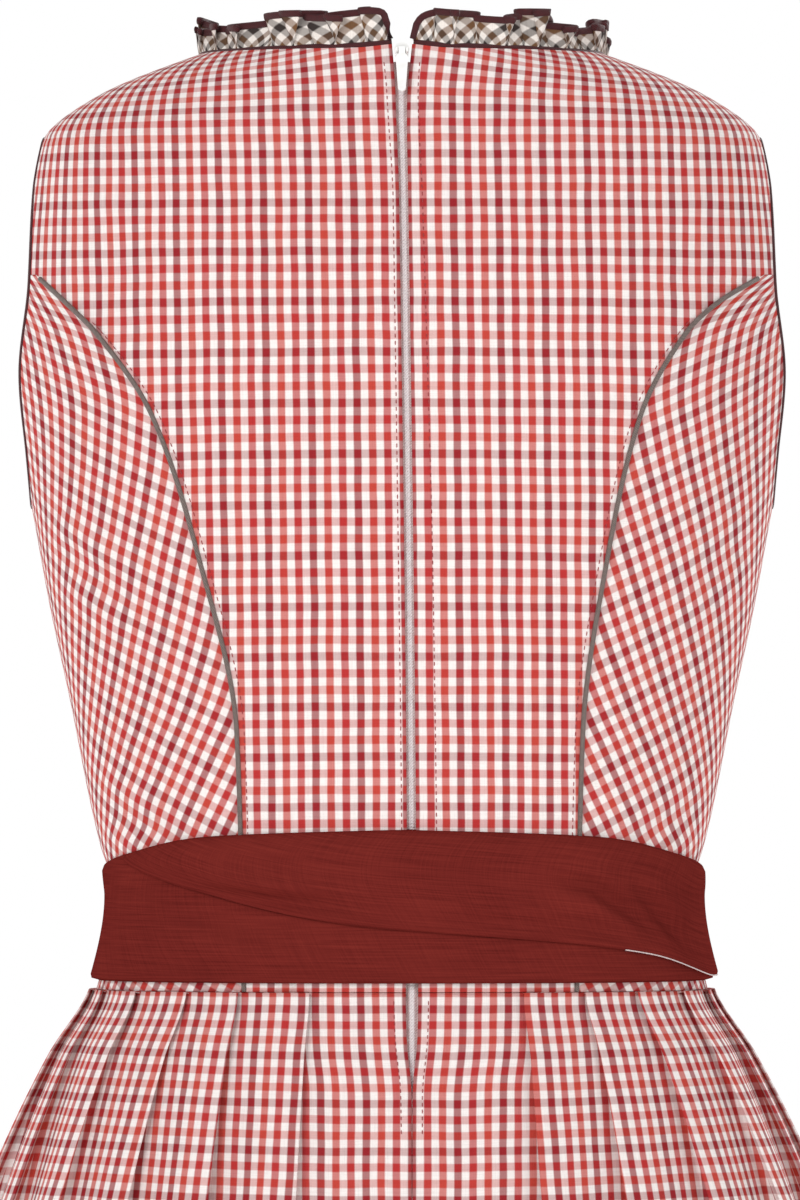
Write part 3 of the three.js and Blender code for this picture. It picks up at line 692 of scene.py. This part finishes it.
def makeSidePanel(name, face, side):
    height = bodiceLevels(princessTop - 0.1)[:, None]
    share = fineShares(bodice["sideColumns"])[None, :]
    inner = alongSection(princessEdge(height, face, side), height, seamGap / 2)
    under = alongSection(np.full(height.shape, quarterTurn), height, -seamGap / 2)
    outer = np.where(height > underarm, armholeEdge(height, face), under)
    angle = angleRound(mix(inner, outer, share), face, side)
    spots = turnIn(measureGrain(spotGrid(angle, height)), bottom=True)
    return clothPiece(name, spots, ginghamBias, bodice["creases"])


piping = {"width": 2.0, "height": 1.9, "foot": -0.6, "step": 3.0}


def makePiping(name, face, side):
    height = np.arange(bodiceFoot, princessTop, piping["step"])
    points, over = lineOn(angleRound(princessEdge(height, face, side), face, side), height)
    section = roundedSection(piping["width"], piping["height"], piping["foot"])
    return sweptPiece(name + "_cord", points, over, section, taupeTrim, [name])


binding = {"width": 2.3, "height": 2.0, "foot": -1.5, "out": 1.35}


def bindingSection():
    section = roundedSection(binding["width"], binding["height"], binding["foot"])
    return section + [binding["out"], 0]


def makeArmholeBinding(name, side):
    height = np.arange(underarm + 1, shoulderTip, 2.5)
    loopAngle = np.concatenate([
        [side * quarterTurn], angleRound(armholeEdge(height[::-1], "back"), "back", side),
        [side * quarterTurn], angleRound(armholeEdge(height, "front"), "front", side)])
    loopHeight = np.concatenate([[shoulderTip], height[::-1], [underarm], height])
    if side < 0:
        loopAngle, loopHeight = loopAngle[::-1], loopHeight[::-1]
    points, over = lineOn(loopAngle, loopHeight)
    return sweptPiece(name + "_strip", points, over, bindingSection(), burgundyTrim,
                      [name], True)


def neckLine():
    # from the left of the opening, round the front, to the right of the opening, a millimetre apart
    backShare, frontShare = np.linspace(0, 1, 60), np.linspace(0, 1, 160)
    backHeight = valueAt(backNeck, backShare, "height", "share")
    frontHeight = valueAt(frontNeck, frontShare, "height", "share")

    def backAngle(side):
        edge = mix(openingEdge(backHeight, side), outerEdge(backHeight, "back", side), backShare)
        return angleRound(edge, "back", side)
    left, right = frontSpots(frontShare, frontHeight), frontSpots(-frontShare, frontHeight)
    angle = np.concatenate([backAngle(1)[:-1], left[::-1], right[1:], 2 * math.pi + backAngle(-1)[::-1][1:]])
    height = np.concatenate([backHeight[:-1], frontHeight[::-1], frontHeight[1:], backHeight[::-1][1:]])
    points, over = lineOn(angle, height)
    walked = np.pad(np.cumsum(np.linalg.norm(np.diff(points, axis=0), axis=-1)), (1, 0))
    even = np.arange(0, walked[-1], 1.0)
    resample = lambda values: np.stack([np.interp(even, walked, values[:, k]) for k in range(3)], axis=-1)
    return resample(points), unit(resample(over)), even


ruffle = {
    "height": 12.2, "rows": 14, "pitch": 21.0, "swing": 4.2, "lean": 7.0, "foot": 1.7,
    "roundEnd": 7.0,      # the ruffle's ends at the opening are rounded
    "shoulder": 90.0,     # the way from the opening to the shoulder seam, where the ruffle is lowest
    "shoulderDrop": 0.42,
    "fullness": 1.8,
    "edging": {"width": 3.0, "height": 1.5},
}


def ruffleShape(walked, share):
    # places of the ruffle over its line: along it, up it and off it
    total = walked.max()
    unevenPitch = 1.1 * np.sin(walked / 17) + 0.8 * np.sin(walked / 7.3 + 1)
    phase = 2 * math.pi * walked / ruffle["pitch"] + unevenPitch
    near = np.minimum(walked, total - walked)
    ended = np.clip(near / ruffle["roundEnd"], 0, 1)
    tall = ruffle["height"] * np.sqrt(np.maximum(1 - (1 - ended) ** 2, 0))
    tall = tall * (1 - ruffle["shoulderDrop"] * np.exp(-((near - ruffle["shoulder"]) / 26) ** 2))
    uneven = 0.17 * np.sin(phase * 0.5 + 0.6) + 0.08 * np.sin(walked / 11)
    tall = tall * (1 + uneven * np.clip(near / 20, 0, 1))
    calm = np.clip(near / 14, 0.12, 1)
    strength = calm * (0.12 + 0.88 * share ** 0.8)
    off = ruffle["swing"] * strength * np.sin(phase)
    shift = ruffle["lean"] * strength * np.sin(2 * phase + 0.5) * (0.75 + 0.25 * np.sin(walked / 29))
    return shift, tall * share, off


def makeNeckTrim():
    points, over, walked = neckLine()
    neckBinding = sweptPiece("neck_binding_strip", points[::2], over[::2], bindingSection(), burgundyTrim,
                             ["neck_binding"])
    out, over = pathFrames(points, over)
    rise = unit(out * (1 - 0.5 * over[:, 2:]) + over * (0.15 + 0.9 * over[:, 2:]))
    way = unit(np.cross(over, out))
    off = unit(np.cross(way, rise)) * -1
    off = np.where((off * over).sum(axis=-1, keepdims=True) < 0, -off, off)
    share = np.linspace(0, 1, ruffle["rows"])[:, None]
    shift, up, swing = ruffleShape(walked[None, :], share)
    foot = points + out * ruffle["foot"]
    shape = foot[None] + way[None] * shift[..., None] + rise[None] * up[..., None]
    shape = shape + off[None] * swing[..., None]
    stretched = np.broadcast_to(walked * ruffle["fullness"], up.shape)
    mesh = gridMesh("neck_ruffle_cloth", shape, stretched, up * 1.0)
    cloth = placePiece("neck_ruffle_cloth", mesh, ruffleCheck, ["neck_ruffle"])
    edge, inner = shape[-1], shape[-2]
    tangent = unit(np.gradient(edge, axis=0))
    facing = unit(np.cross(unit(edge - inner) + rise * 0.2, tangent))
    width, thick = ruffle["edging"]["width"], ruffle["edging"]["height"]
    section = roundedSection(width, thick, -thick / 2)
    edging = sweptPiece("ruffle_edging_strip", edge + rise * 0.8, facing, section, burgundyTrim,
                        ["ruffle_edging"])


pleats = {
    "left": {
        "waist": [13.9, 27.8, 40.1, 55.6, 72, 88, 103, 119, 135, 150, 165],
        "hem": [10.5, 22, 36, 49, 62, 77, 93, 109, 125, 141, 159],
        "depth": [0.9, 1.1, 0.95, 1.15, 1, 1.05, 0.9, 1.1, 1, 0.9, 1.05],
    },
    "right": {
        "waist": [19.3, 32.2, 45.5, 61.6, 77, 92, 107, 122, 137, 152, 166],
        "hem": [14.5, 27, 42.5, 60, 74, 89, 104, 119, 135, 150, 165],
        "depth": [1, 0.9, 1.1, 1.15, 0.95, 1.05, 0.9, 1, 1.1, 0.95, 1],
    },
    "behind": 5,          # pleats of a half that lie on its back panel
    "drift": 75,          # drop over which the pleats spread from their places at the waist
    "finePoints": 3,      # points between two of the section's own
}
fullness = {"height": [0, -50, -92, -170, -380, -skirtLength], "stand": [3, 6, 9, 16, 29, 36],
            "open": [0, 0.02, 0.05, 0.25, 0.75, 1]}
# One pleat from its fold edge to the next, as shares of its width and of its height, where the pleats are
# closed at the waist and where they have opened at the hem. Point 6 is the hidden inner fold.
pleatSection = {
    "closedAcross": [0, 0.12, 0.3, 0.6, 0.86, 1.0, 1.1, 1.13, 1.09, 1.02, 0.975],
    "closedStand": [1, 0.98, 0.86, 0.45, 0.12, 0.02, 0.02, 0.3, 0.58, 0.74, 0.88],
    "openAcross": [0, 0.07, 0.15, 0.29, 0.41, 0.5, 0.6, 0.7, 0.8, 0.89, 0.96],
    "openStand": [1, 0.95, 0.84, 0.47, 0.16, 0.03, 0.03, 0.17, 0.48, 0.8, 0.96],
}
innerFold = 7


def foldAngle(side, number, height):
    table = pleats["left"] if side > 0 else pleats["right"]
    if number == 0:
        return openingEdge(height, side)
    if number > len(table["waist"]):
        return alongSection(np.full(height.shape, math.pi), height, -seamGap / 2)
    spread = 1 - np.exp(height / pleats["drift"])
    return np.radians(mix(table["waist"][number - 1], table["hem"][number - 1], spread))


def smoothBetween(knots, count):
    # a smooth curve through knots, which lie along the last axis, with count points for each span
    before = np.concatenate([2 * knots[..., :1] - knots[..., 1:2], knots[..., :-1]], axis=-1)
    after = np.concatenate([knots[..., 1:], 2 * knots[..., -1:] - knots[..., -2:-1]], axis=-1)
    slope = (after - before) / 2
    parts = []
    for step in range(count):
        t = step / count
        start, end = knots[..., :-1], knots[..., 1:]
        value = start * (1 + 2 * t) * (1 - t) ** 2 + end * t * t * (3 - 2 * t)
        parts.append(value + slope[..., :-1] * t * (1 - t) ** 2 - slope[..., 1:] * t * t * (1 - t))
    curve = np.stack(parts, axis=-1).reshape(*knots.shape[:-1], -1)
    return np.concatenate([curve, knots[..., -1:]], axis=-1)


def pleatedHalf(side, height):
    # knots of one half of the skirt, row by row, from the opening to the centre front
    table = pleats["left"] if side > 0 else pleats["right"]
    stand, opened = valueAt(fullness, height, "stand"), valueAt(fullness, height, "open")
    last = len(table["waist"])
    angles, stands = [], []
    for number in range(last + 1):
        start, end = foldAngle(side, number, height), foldAngle(side, number + 1, height)
        ridge = 0 if number == 0 else table["depth"][number - 1] * stand
        nextRidge = 0 if number == last else table["depth"][number] * stand
        for knot in range(len(pleatSection["closedAcross"])):
            across, high = (mix(pleatSection["closed" + key][knot], pleatSection["open" + key][knot], opened)
                            for key in ("Across", "Stand"))
            if number == last:
                across, high = knot / innerFold, mix(1, 0, min(knot / innerFold, 1) ** 1.4)
                if knot > innerFold:
                    break
            angles.append(side * mix(start, end, across))
            stands.append(high * (ridge if knot < innerFold or number == last else nextRidge))
    stands = [np.broadcast_to(stand, height.shape) for stand in stands]
    return np.concatenate(angles, axis=1), np.concatenate(stands, axis=1)


def skirtGrain(points, knotCount, fine):
    # distance from the fold edge behind and to the fold edge ahead, on cloth that runs on through the folds
    steps = np.pad(np.cumsum(np.linalg.norm(np.diff(points, axis=1), axis=-1), axis=1), ((0, 0), (1, 0)))
    columns = points.shape[1]
    unitColumns = knotCount * fine
    across, acrossEnd, base = np.zeros(steps.shape), np.zeros(steps.shape), 0.0
    for first in range(0, columns, unitColumns):
        ahead = min(first + unitColumns, columns - 1)
        fold = min(first + innerFold * fine, columns - 1)
        onwards = steps - steps[:, first:first + 1] + base
        width = steps[0, ahead] - steps[0, first]
        backwards = steps - steps[:, ahead:ahead + 1] + base + width
        across[:, first:fold] = onwards[:, first:fold]
        acrossEnd[:, first + 1:fold + 1] = onwards[:, first + 1:fold + 1]
        if ahead > fold:
            across[:, fold:ahead] = backwards[:, fold:ahead]
            acrossEnd[:, fold + 1:ahead + 1] = backwards[:, fold + 1:ahead + 1]
        base += width
    across[:, -1], acrossEnd[:, 0] = acrossEnd[:, -1], across[:, 0]
    return across, acrossEnd


skirt = {
    "rows": 118,
    "creases": [
        {"path": [(30, -30), (28, -70), (27, -120)], "width": 7, "depth": -0.8},
        {"path": [(-22, -20), (-26, -60), (-24, -130)], "width": 8, "depth": -0.9},
        {"path": [(10, -56), (11, -100), (12, -160)], "width": 6, "depth": 0.7},
    ],
}


def makeSkirtHalf(side, backName, frontName):
    down = np.linspace(0, 1, skirt["rows"]) ** 1.15
    height = mix(-skirtLength, -seamGap / 2, 1 - down[::-1])[:, None]
    angle, stand = pleatedHalf(side, height)
    fine = pleats["finePoints"]
    angle, stand = smoothBetween(angle, fine), np.maximum(smoothBetween(stand, fine), 0)
    knotCount = len(pleatSection["closedAcross"])
    spots = spotGrid(angle, height, stand=stand)
    points, _ = clothPoint(spots)
    middle = (spots["angle"][1:] + spots["angle"][:-1]) / 2
    rise = figurePoint(middle, spots["height"][1:]) - figurePoint(middle, spots["height"][:-1])
    spots["along"] = np.pad(np.cumsum(np.linalg.norm(rise, axis=-1), axis=0), ((1, 0), (0, 0)))
    spots["along"] -= spots["along"][-1:]
    spots["across"], spots["acrossEnd"] = skirtGrain(points, knotCount, fine)
    seam = (pleats["behind"] * knotCount + 6) * fine
    for name, part in ((backName, np.s_[:, :seam + 1]), (frontName, np.s_[:, seam:])):
        cut = turnIn({key: values[part] for key, values in spots.items()}, bottom=True, top=True)
        clothPiece(name, cut, gingham, skirt["creases"])


sash = {
    "bottom": 3.8, "underLift": 4.1, "overLift": 6.2, "columns": 240, "rows": 34,
    "top": {"degrees": [0, 35, 65, 95, 180], "height": [69, 66, 58, 52, 50]},
    "turn": {"degrees": [-180, -80, -50, -30, 0, 30, 62], "height": [3.8, 4.5, 15, 20, 26, 38, 56]},
    "topPress": 10.0,     # the top edge is pressed to the bodice over this height
    "pale_edge_line": {"from": -96, "to": -42, "width": 0.55, "height": 0.4},
    "overCreases": [
        {"path": [(-64, 48), (-80, 45), (-95, 35), (-111, 24)], "width": 3.4, "depth": -2.8},
        {"path": [(-62, 43), (-78, 39), (-92, 30), (-106, 21)], "width": 4.0, "depth": 2.2},
        {"path": [(-70, 54), (-86, 50), (-100, 40)], "width": 4.2, "depth": 1.5},
        {"path": [(-98, 47), (-108, 35), (-118, 24), (-125, 14)], "width": 3.0, "depth": -3.0},
        {"path": [(-104, 48), (-114, 38), (-122, 28)], "width": 4.0, "depth": 2.0},
        {"path": [(-66, 57), (-76, 56), (-88, 55)], "width": 2.5, "depth": -1.2},
        {"path": [(-20, 31), (-50, 28), (-80, 27), (-108, 22)], "width": 4.0, "depth": -2.1},
        {"path": [(-10, 38), (-45, 36), (-80, 34)], "width": 6.0, "depth": 1.4},
        {"path": [(92, 44), (64, 39), (36, 37), (12, 37)], "width": 3.6, "depth": -2.9},
        {"path": [(90, 50), (60, 45), (28, 43)], "width": 4.4, "depth": 2.0},
        {"path": [(84, 52), (60, 47), (30, 45)], "width": 5.0, "depth": 1.4},
        {"path": [(-60, 22), (-20, 30), (24, 34)], "width": 4.0, "depth": -1.4, "face": "front"},
        {"path": [(-70, 30), (-20, 38), (30, 41)], "width": 5.0, "depth": 1.4, "face": "front"},
        {"path": [(-30, 12), (-70, 16), (-105, 24)], "width": 4.0, "depth": -1.2, "face": "front"},
    ],
    "underCreases": [
        {"path": [(104, 13), (84, 10), (60, 9)], "width": 3.2, "depth": -2.4},
        {"path": [(62, 10), (34, 9), (2, 8)], "width": 2.8, "depth": -2.0},
        {"path": [(90, 17), (60, 16), (30, 14)], "width": 4.0, "depth": 1.2},
        {"path": [(-4, 18), (-20, 16), (-36, 15)], "width": 3.2, "depth": -1.3},
        {"path": [(100, 36), (80, 30), (50, 24)], "width": 4.0, "depth": -1.4},
        {"path": [(104, 28), (84, 22), (60, 18)], "width": 4.0, "depth": 1.0},
        {"path": [(20, 26), (60, 22), (100, 24)], "width": 4.0, "depth": -1.4, "face": "front"},
        {"path": [(14, 36), (60, 32), (104, 34)], "width": 5.0, "depth": 1.3, "face": "front"},
        {"path": [(110, 12), (70, 13), (30, 9)], "width": 3.5, "depth": -1.0, "face": "front"},
    ],
}


def sashSpots(degrees, foot, lift):
    share = np.linspace(0, 1, sash["rows"])[:, None]
    top = valueAt(sash["top"], np.abs(degrees), "height", "degrees")
    height = mix(foot, top, share)
    spots = spotGrid(np.radians(degrees), height, lift=lift)
    spots = measureGrain(spots)
    spots["along"] = height - foot
    # the folded edges of the band round off
    edge = np.minimum(share, 1 - share) * (top - foot)
    pressed = 1 - np.clip((1 - share) * (top - foot) / sash["topPress"], 0, 1)
    spots["lift"] = spots["lift"] - 0.8 * (1 - np.clip(edge / 1.4, 0, 1)) ** 2 - 0.42 * lift * pressed ** 2
    return spots


def makeSash():
    ring = np.linspace(-180, 180, sash["columns"], endpoint=False)[None, :]
    plain = sashSpots(ring, np.full(ring.shape, sash["bottom"]), sash["underLift"])
    under = turnIn(plain, left=False, right=False, bottom=True, top=True)
    pressed = [crease for crease in sash["overCreases"] if crease["depth"] < 0]
    clothPiece("sash_under_turn", under, taffeta, sash["underCreases"] + pressed,
               closedRound=True)
    wound = np.linspace(-180, sash["turn"]["degrees"][-1], sash["columns"] * 2 // 3)[None, :]
    foot = valueAt(sash["turn"], wound, "height", "degrees")
    edged = sashSpots(wound, foot, sash["overLift"])
    over = turnIn(edged, bottom=True, top=True)
    # a pale line along the over turn's lower edge, over the wearer's right hip
    points, normal = clothPoint({key: values[0] for key, values in edged.items()})
    points = points + normal * creaseDepth(points, sash["overCreases"])[..., None]
    shown = (wound[0] > sash["pale_edge_line"]["from"]) & (wound[0] < sash["pale_edge_line"]["to"])
    section = roundedSection(sash["pale_edge_line"]["width"], sash["pale_edge_line"]["height"], 0)
    pale_edge_line = sweptPiece("sash_selvedge", points[shown], normal[shown], section, tapeCloth,
                          [])
    clothPiece("sash_over_turn", over, taffeta, sash["overCreases"])


zipParts = {
    "foot": -44, "head": 398, "tapeStep": 4.0,
    "tape": {"out": [0.3, 0.9, 1.5, 2.2, 3.4, 7, 12], "lift": [-2.7, -2.15, -2.2, -2.7, -3.2, -3.3, -3.3]},
    "coil": {"out": [-1.5, -1.25, -0.8, -0.35, 0, 0.35, 0.8, 1.25, 1.5],
             "lift": [-2.7, -2.1, -1.85, -1.95, -2.25, -1.95, -1.85, -2.1, -2.7]},
    "toothPitch": 1.35, "toothHeight": 0.2, "coilFoot": -41, "coilHead": 386,
}


def zipStrip(name, height, out, lift, material, nodes):
    angle = angleOfX(valueAt(opening, height, "middle") + out, height)
    spots = spotGrid(angle, height, lift=lift)
    spots["across"] = np.broadcast_to(out, angle.shape).astype(float)
    spots["along"] = np.broadcast_to(height, angle.shape).astype(float)
    points, _ = clothPoint(spots)
    mesh = gridMesh(name, points, spots["across"], spots["along"])
    return placePiece(name, mesh, material, nodes), points


def makeZip():
    height = np.arange(zipParts["foot"], zipParts["head"] + 1, zipParts["tapeStep"])[:, None]
    tapes = []
    for sideName, side in (("left", 1), ("right", -1)):
        out, lift = np.array(zipParts["tape"]["out"])[None] * side, np.array(zipParts["tape"]["lift"])[None]
        tape, points = zipStrip(f"zip_tape_{sideName}_cloth", height, out, lift, tapeCloth,
                                [f"zip_tape_{sideName}"])
        tapes.append(tape)
    height = np.arange(zipParts["coilFoot"], zipParts["coilHead"], zipParts["toothPitch"] / 4)[:, None]
    ribs = zipParts["toothHeight"] * np.cos(2 * math.pi * height / zipParts["toothPitch"])
    out, lift = np.array(zipParts["coil"]["out"])[None], np.array(zipParts["coil"]["lift"])[None]
    reach = np.clip((1.5 - np.abs(out)) / 0.4, 0, 1)
    zipStrip("zip_coil_teeth", height, out, lift + ribs * reach, coilNylon, ["zip_coil"])


topstitch = {
    "left": {"height": [398, 340, 200, 60, 0, -44, -60], "away": [4.2, 2.6, 2.6, 2.2, 5.2, 4.6, 4.4]},
    "right": {"height": [398, 340, 200, 60, 0, -44, -60], "away": [4.0, 6.0, 8.0, 8.8, 4.4, 4.2, 4.2]},
}


def makeStitches():
    lines = {"left": [], "right": []}
    for sideName, side in (("left", 1), ("right", -1)):
        height = np.arange(4, 288, 3.0)
        beside = alongSection(princessEdge(height, "back", side), height, -3.2)
        lines[sideName].append(lineOn(angleRound(beside, "back", side), height))
        height = np.arange(-60, 398, 3.0)
        distance = topstitch[sideName]
        away = np.interp(height, distance["height"][::-1], distance["away"][::-1])
        edge = valueAt(opening, height, "middle") + side * (valueAt(opening, height, "half") + away)
        above = height > 1
        lines[sideName].append(lineOn(angleOfX(edge[above], height[above]), height[above]))
        below = height < -1
        lines[sideName].append(lineOn(angleOfX(edge[below], height[below]), height[below]))
    return {sideName: stitchPiece(f"topstitch_{sideName}", own, redThread)
            for sideName, own in lines.items()}


print("sewing the bodice")
stitches = makeStitches()
for sideName, side in (("left", 1), ("right", -1)):
    backTrim = [makePiping(f"piping_back_{sideName}", "back", side), stitches[sideName]]
    makeBackPanel(f"back_{sideName}", side)
    armholeTrim = [makeArmholeBinding(f"armhole_binding_{sideName}", side)]
    makeSidePanel(f"side_back_{sideName}", "back", side)
    frontTrim = [makePiping(f"piping_front_{sideName}", "front", side)]
    makeSidePanel(f"side_front_{sideName}", "front", side)
makeFrontPanel("front_centre")
print("gathering the neck ruffle")
makeNeckTrim()
print("pleating the skirt")
makeSkirtHalf(1, "skirt_back_left", "skirt_front_left")
makeSkirtHalf(-1, "skirt_back_right", "skirt_front_right")
print("winding the sash")
makeSash()
print("setting in the zip")
makeZip()
for nodeName in ("zip_slider", "zip_pull_tab"):
    bpy.data.objects[nodeName].material_slots[0].material = zipPlastic

studio = {
    "floorDrop": 0.42, "floorSize": 48.0, "floorColour": linear(236, 235, 233), "floorGlow": 0.3,
    "skyLight": 0.56, "skyShown": 1.0,
    "lamps": [     # place round the middle of the dress, size and strength
        {"place": (1.9, 3.2, 1.7), "size": 1.8, "power": 62},
        {"place": (-2.6, 2.4, 0.5), "size": 1.8, "power": 22},
        {"place": (-1.9, -3.2, 1.7), "size": 1.8, "power": 62},
        {"place": (2.6, -2.4, 0.5), "size": 1.8, "power": 22},
    ],
    "camera": {"distance": 8.0, "elevation": 0.0, "middle": (0.0009, 0.03, -0.2136), "frameHeight": 0.5124},
}


def makeStudio():
    low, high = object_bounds()
    mesh = bpy.data.meshes.new("studio_floor")
    half, level = studio["floorSize"] / 2, low.z - studio["floorDrop"]
    mesh.from_pydata([(-half, -half, level), (half, -half, level), (half, half, level), (-half, half, level)],
                     [], [(0, 1, 2, 3)])
    floor = bpy.data.objects.new("studio_floor", mesh)
    bpy.context.scene.collection.objects.link(floor)

    def paintFloor(wire):
        place = wire.node("TexCoord", output=3)
        cloud = wire.node("TexNoise", sockets={"Vector": place, "Scale": 1.5})
        stops = [(0.3, studio["floorColour"]), (0.7, linear(240, 239, 237))]
        colour = wire.node("ValToRGB", {"stops": stops}, {0: cloud})
        return colour, cloud * 0.05 + 0.8, cloud, 0.0001
    glow = {
        "Specular IOR Level": 0.1, "Emission Color": (1, 1, 1, 1), "Emission Strength": studio["floorGlow"],
    }
    mesh.materials.append(newMaterial("pale_floor", glow, paintFloor))
    world = bpy.data.worlds.new("studio_sky")
    world.use_nodes = True
    wire = Wire(world.node_tree)
    seen = wire.node("LightPath")
    strength = seen * (studio["skyShown"] - studio["skyLight"]) + studio["skyLight"]
    background = world.node_tree.nodes["Background"]
    background.inputs["Color"].default_value = (1, 1, 1, 1)
    world.node_tree.links.new(strength.socket, background.inputs["Strength"])
    bpy.context.scene.world = world
    middle = (low + high) / 2
    for number, lamp in enumerate(studio["lamps"]):
        data = bpy.data.lights.new(f"softbox_{number}", "AREA")
        data.size, data.energy = lamp["size"], lamp["power"]
        holder = bpy.data.objects.new(f"softbox_{number}", data)
        holder.location = middle + Vector(lamp["place"])
        holder.rotation_euler = (middle - holder.location).to_track_quat("-Z", "Y").to_euler()
        holder.visible_camera = False
        bpy.context.scene.collection.objects.link(holder)


def makeCamera():
    look = studio["camera"]
    rise = math.radians(look["elevation"])
    aim = Vector((0, math.cos(rise), math.sin(rise)))
    data = bpy.data.cameras.new("portrait_camera")
    data.sensor_width = 36
    data.lens = 18 / math.tan(math.atan(look["frameHeight"] / 2 / look["distance"]))
    camera = bpy.data.objects.new("portrait_camera", data)
    camera.location = Vector(look["middle"]) + aim * look["distance"]
    camera.rotation_euler = (-aim).to_track_quat("-Z", "Y").to_euler()
    bpy.context.scene.collection.objects.link(camera)
    bpy.context.scene.camera = camera


makeStudio()
makeCamera()
bpy.context.scene.view_settings.view_transform = "Standard"

print("dress finished")
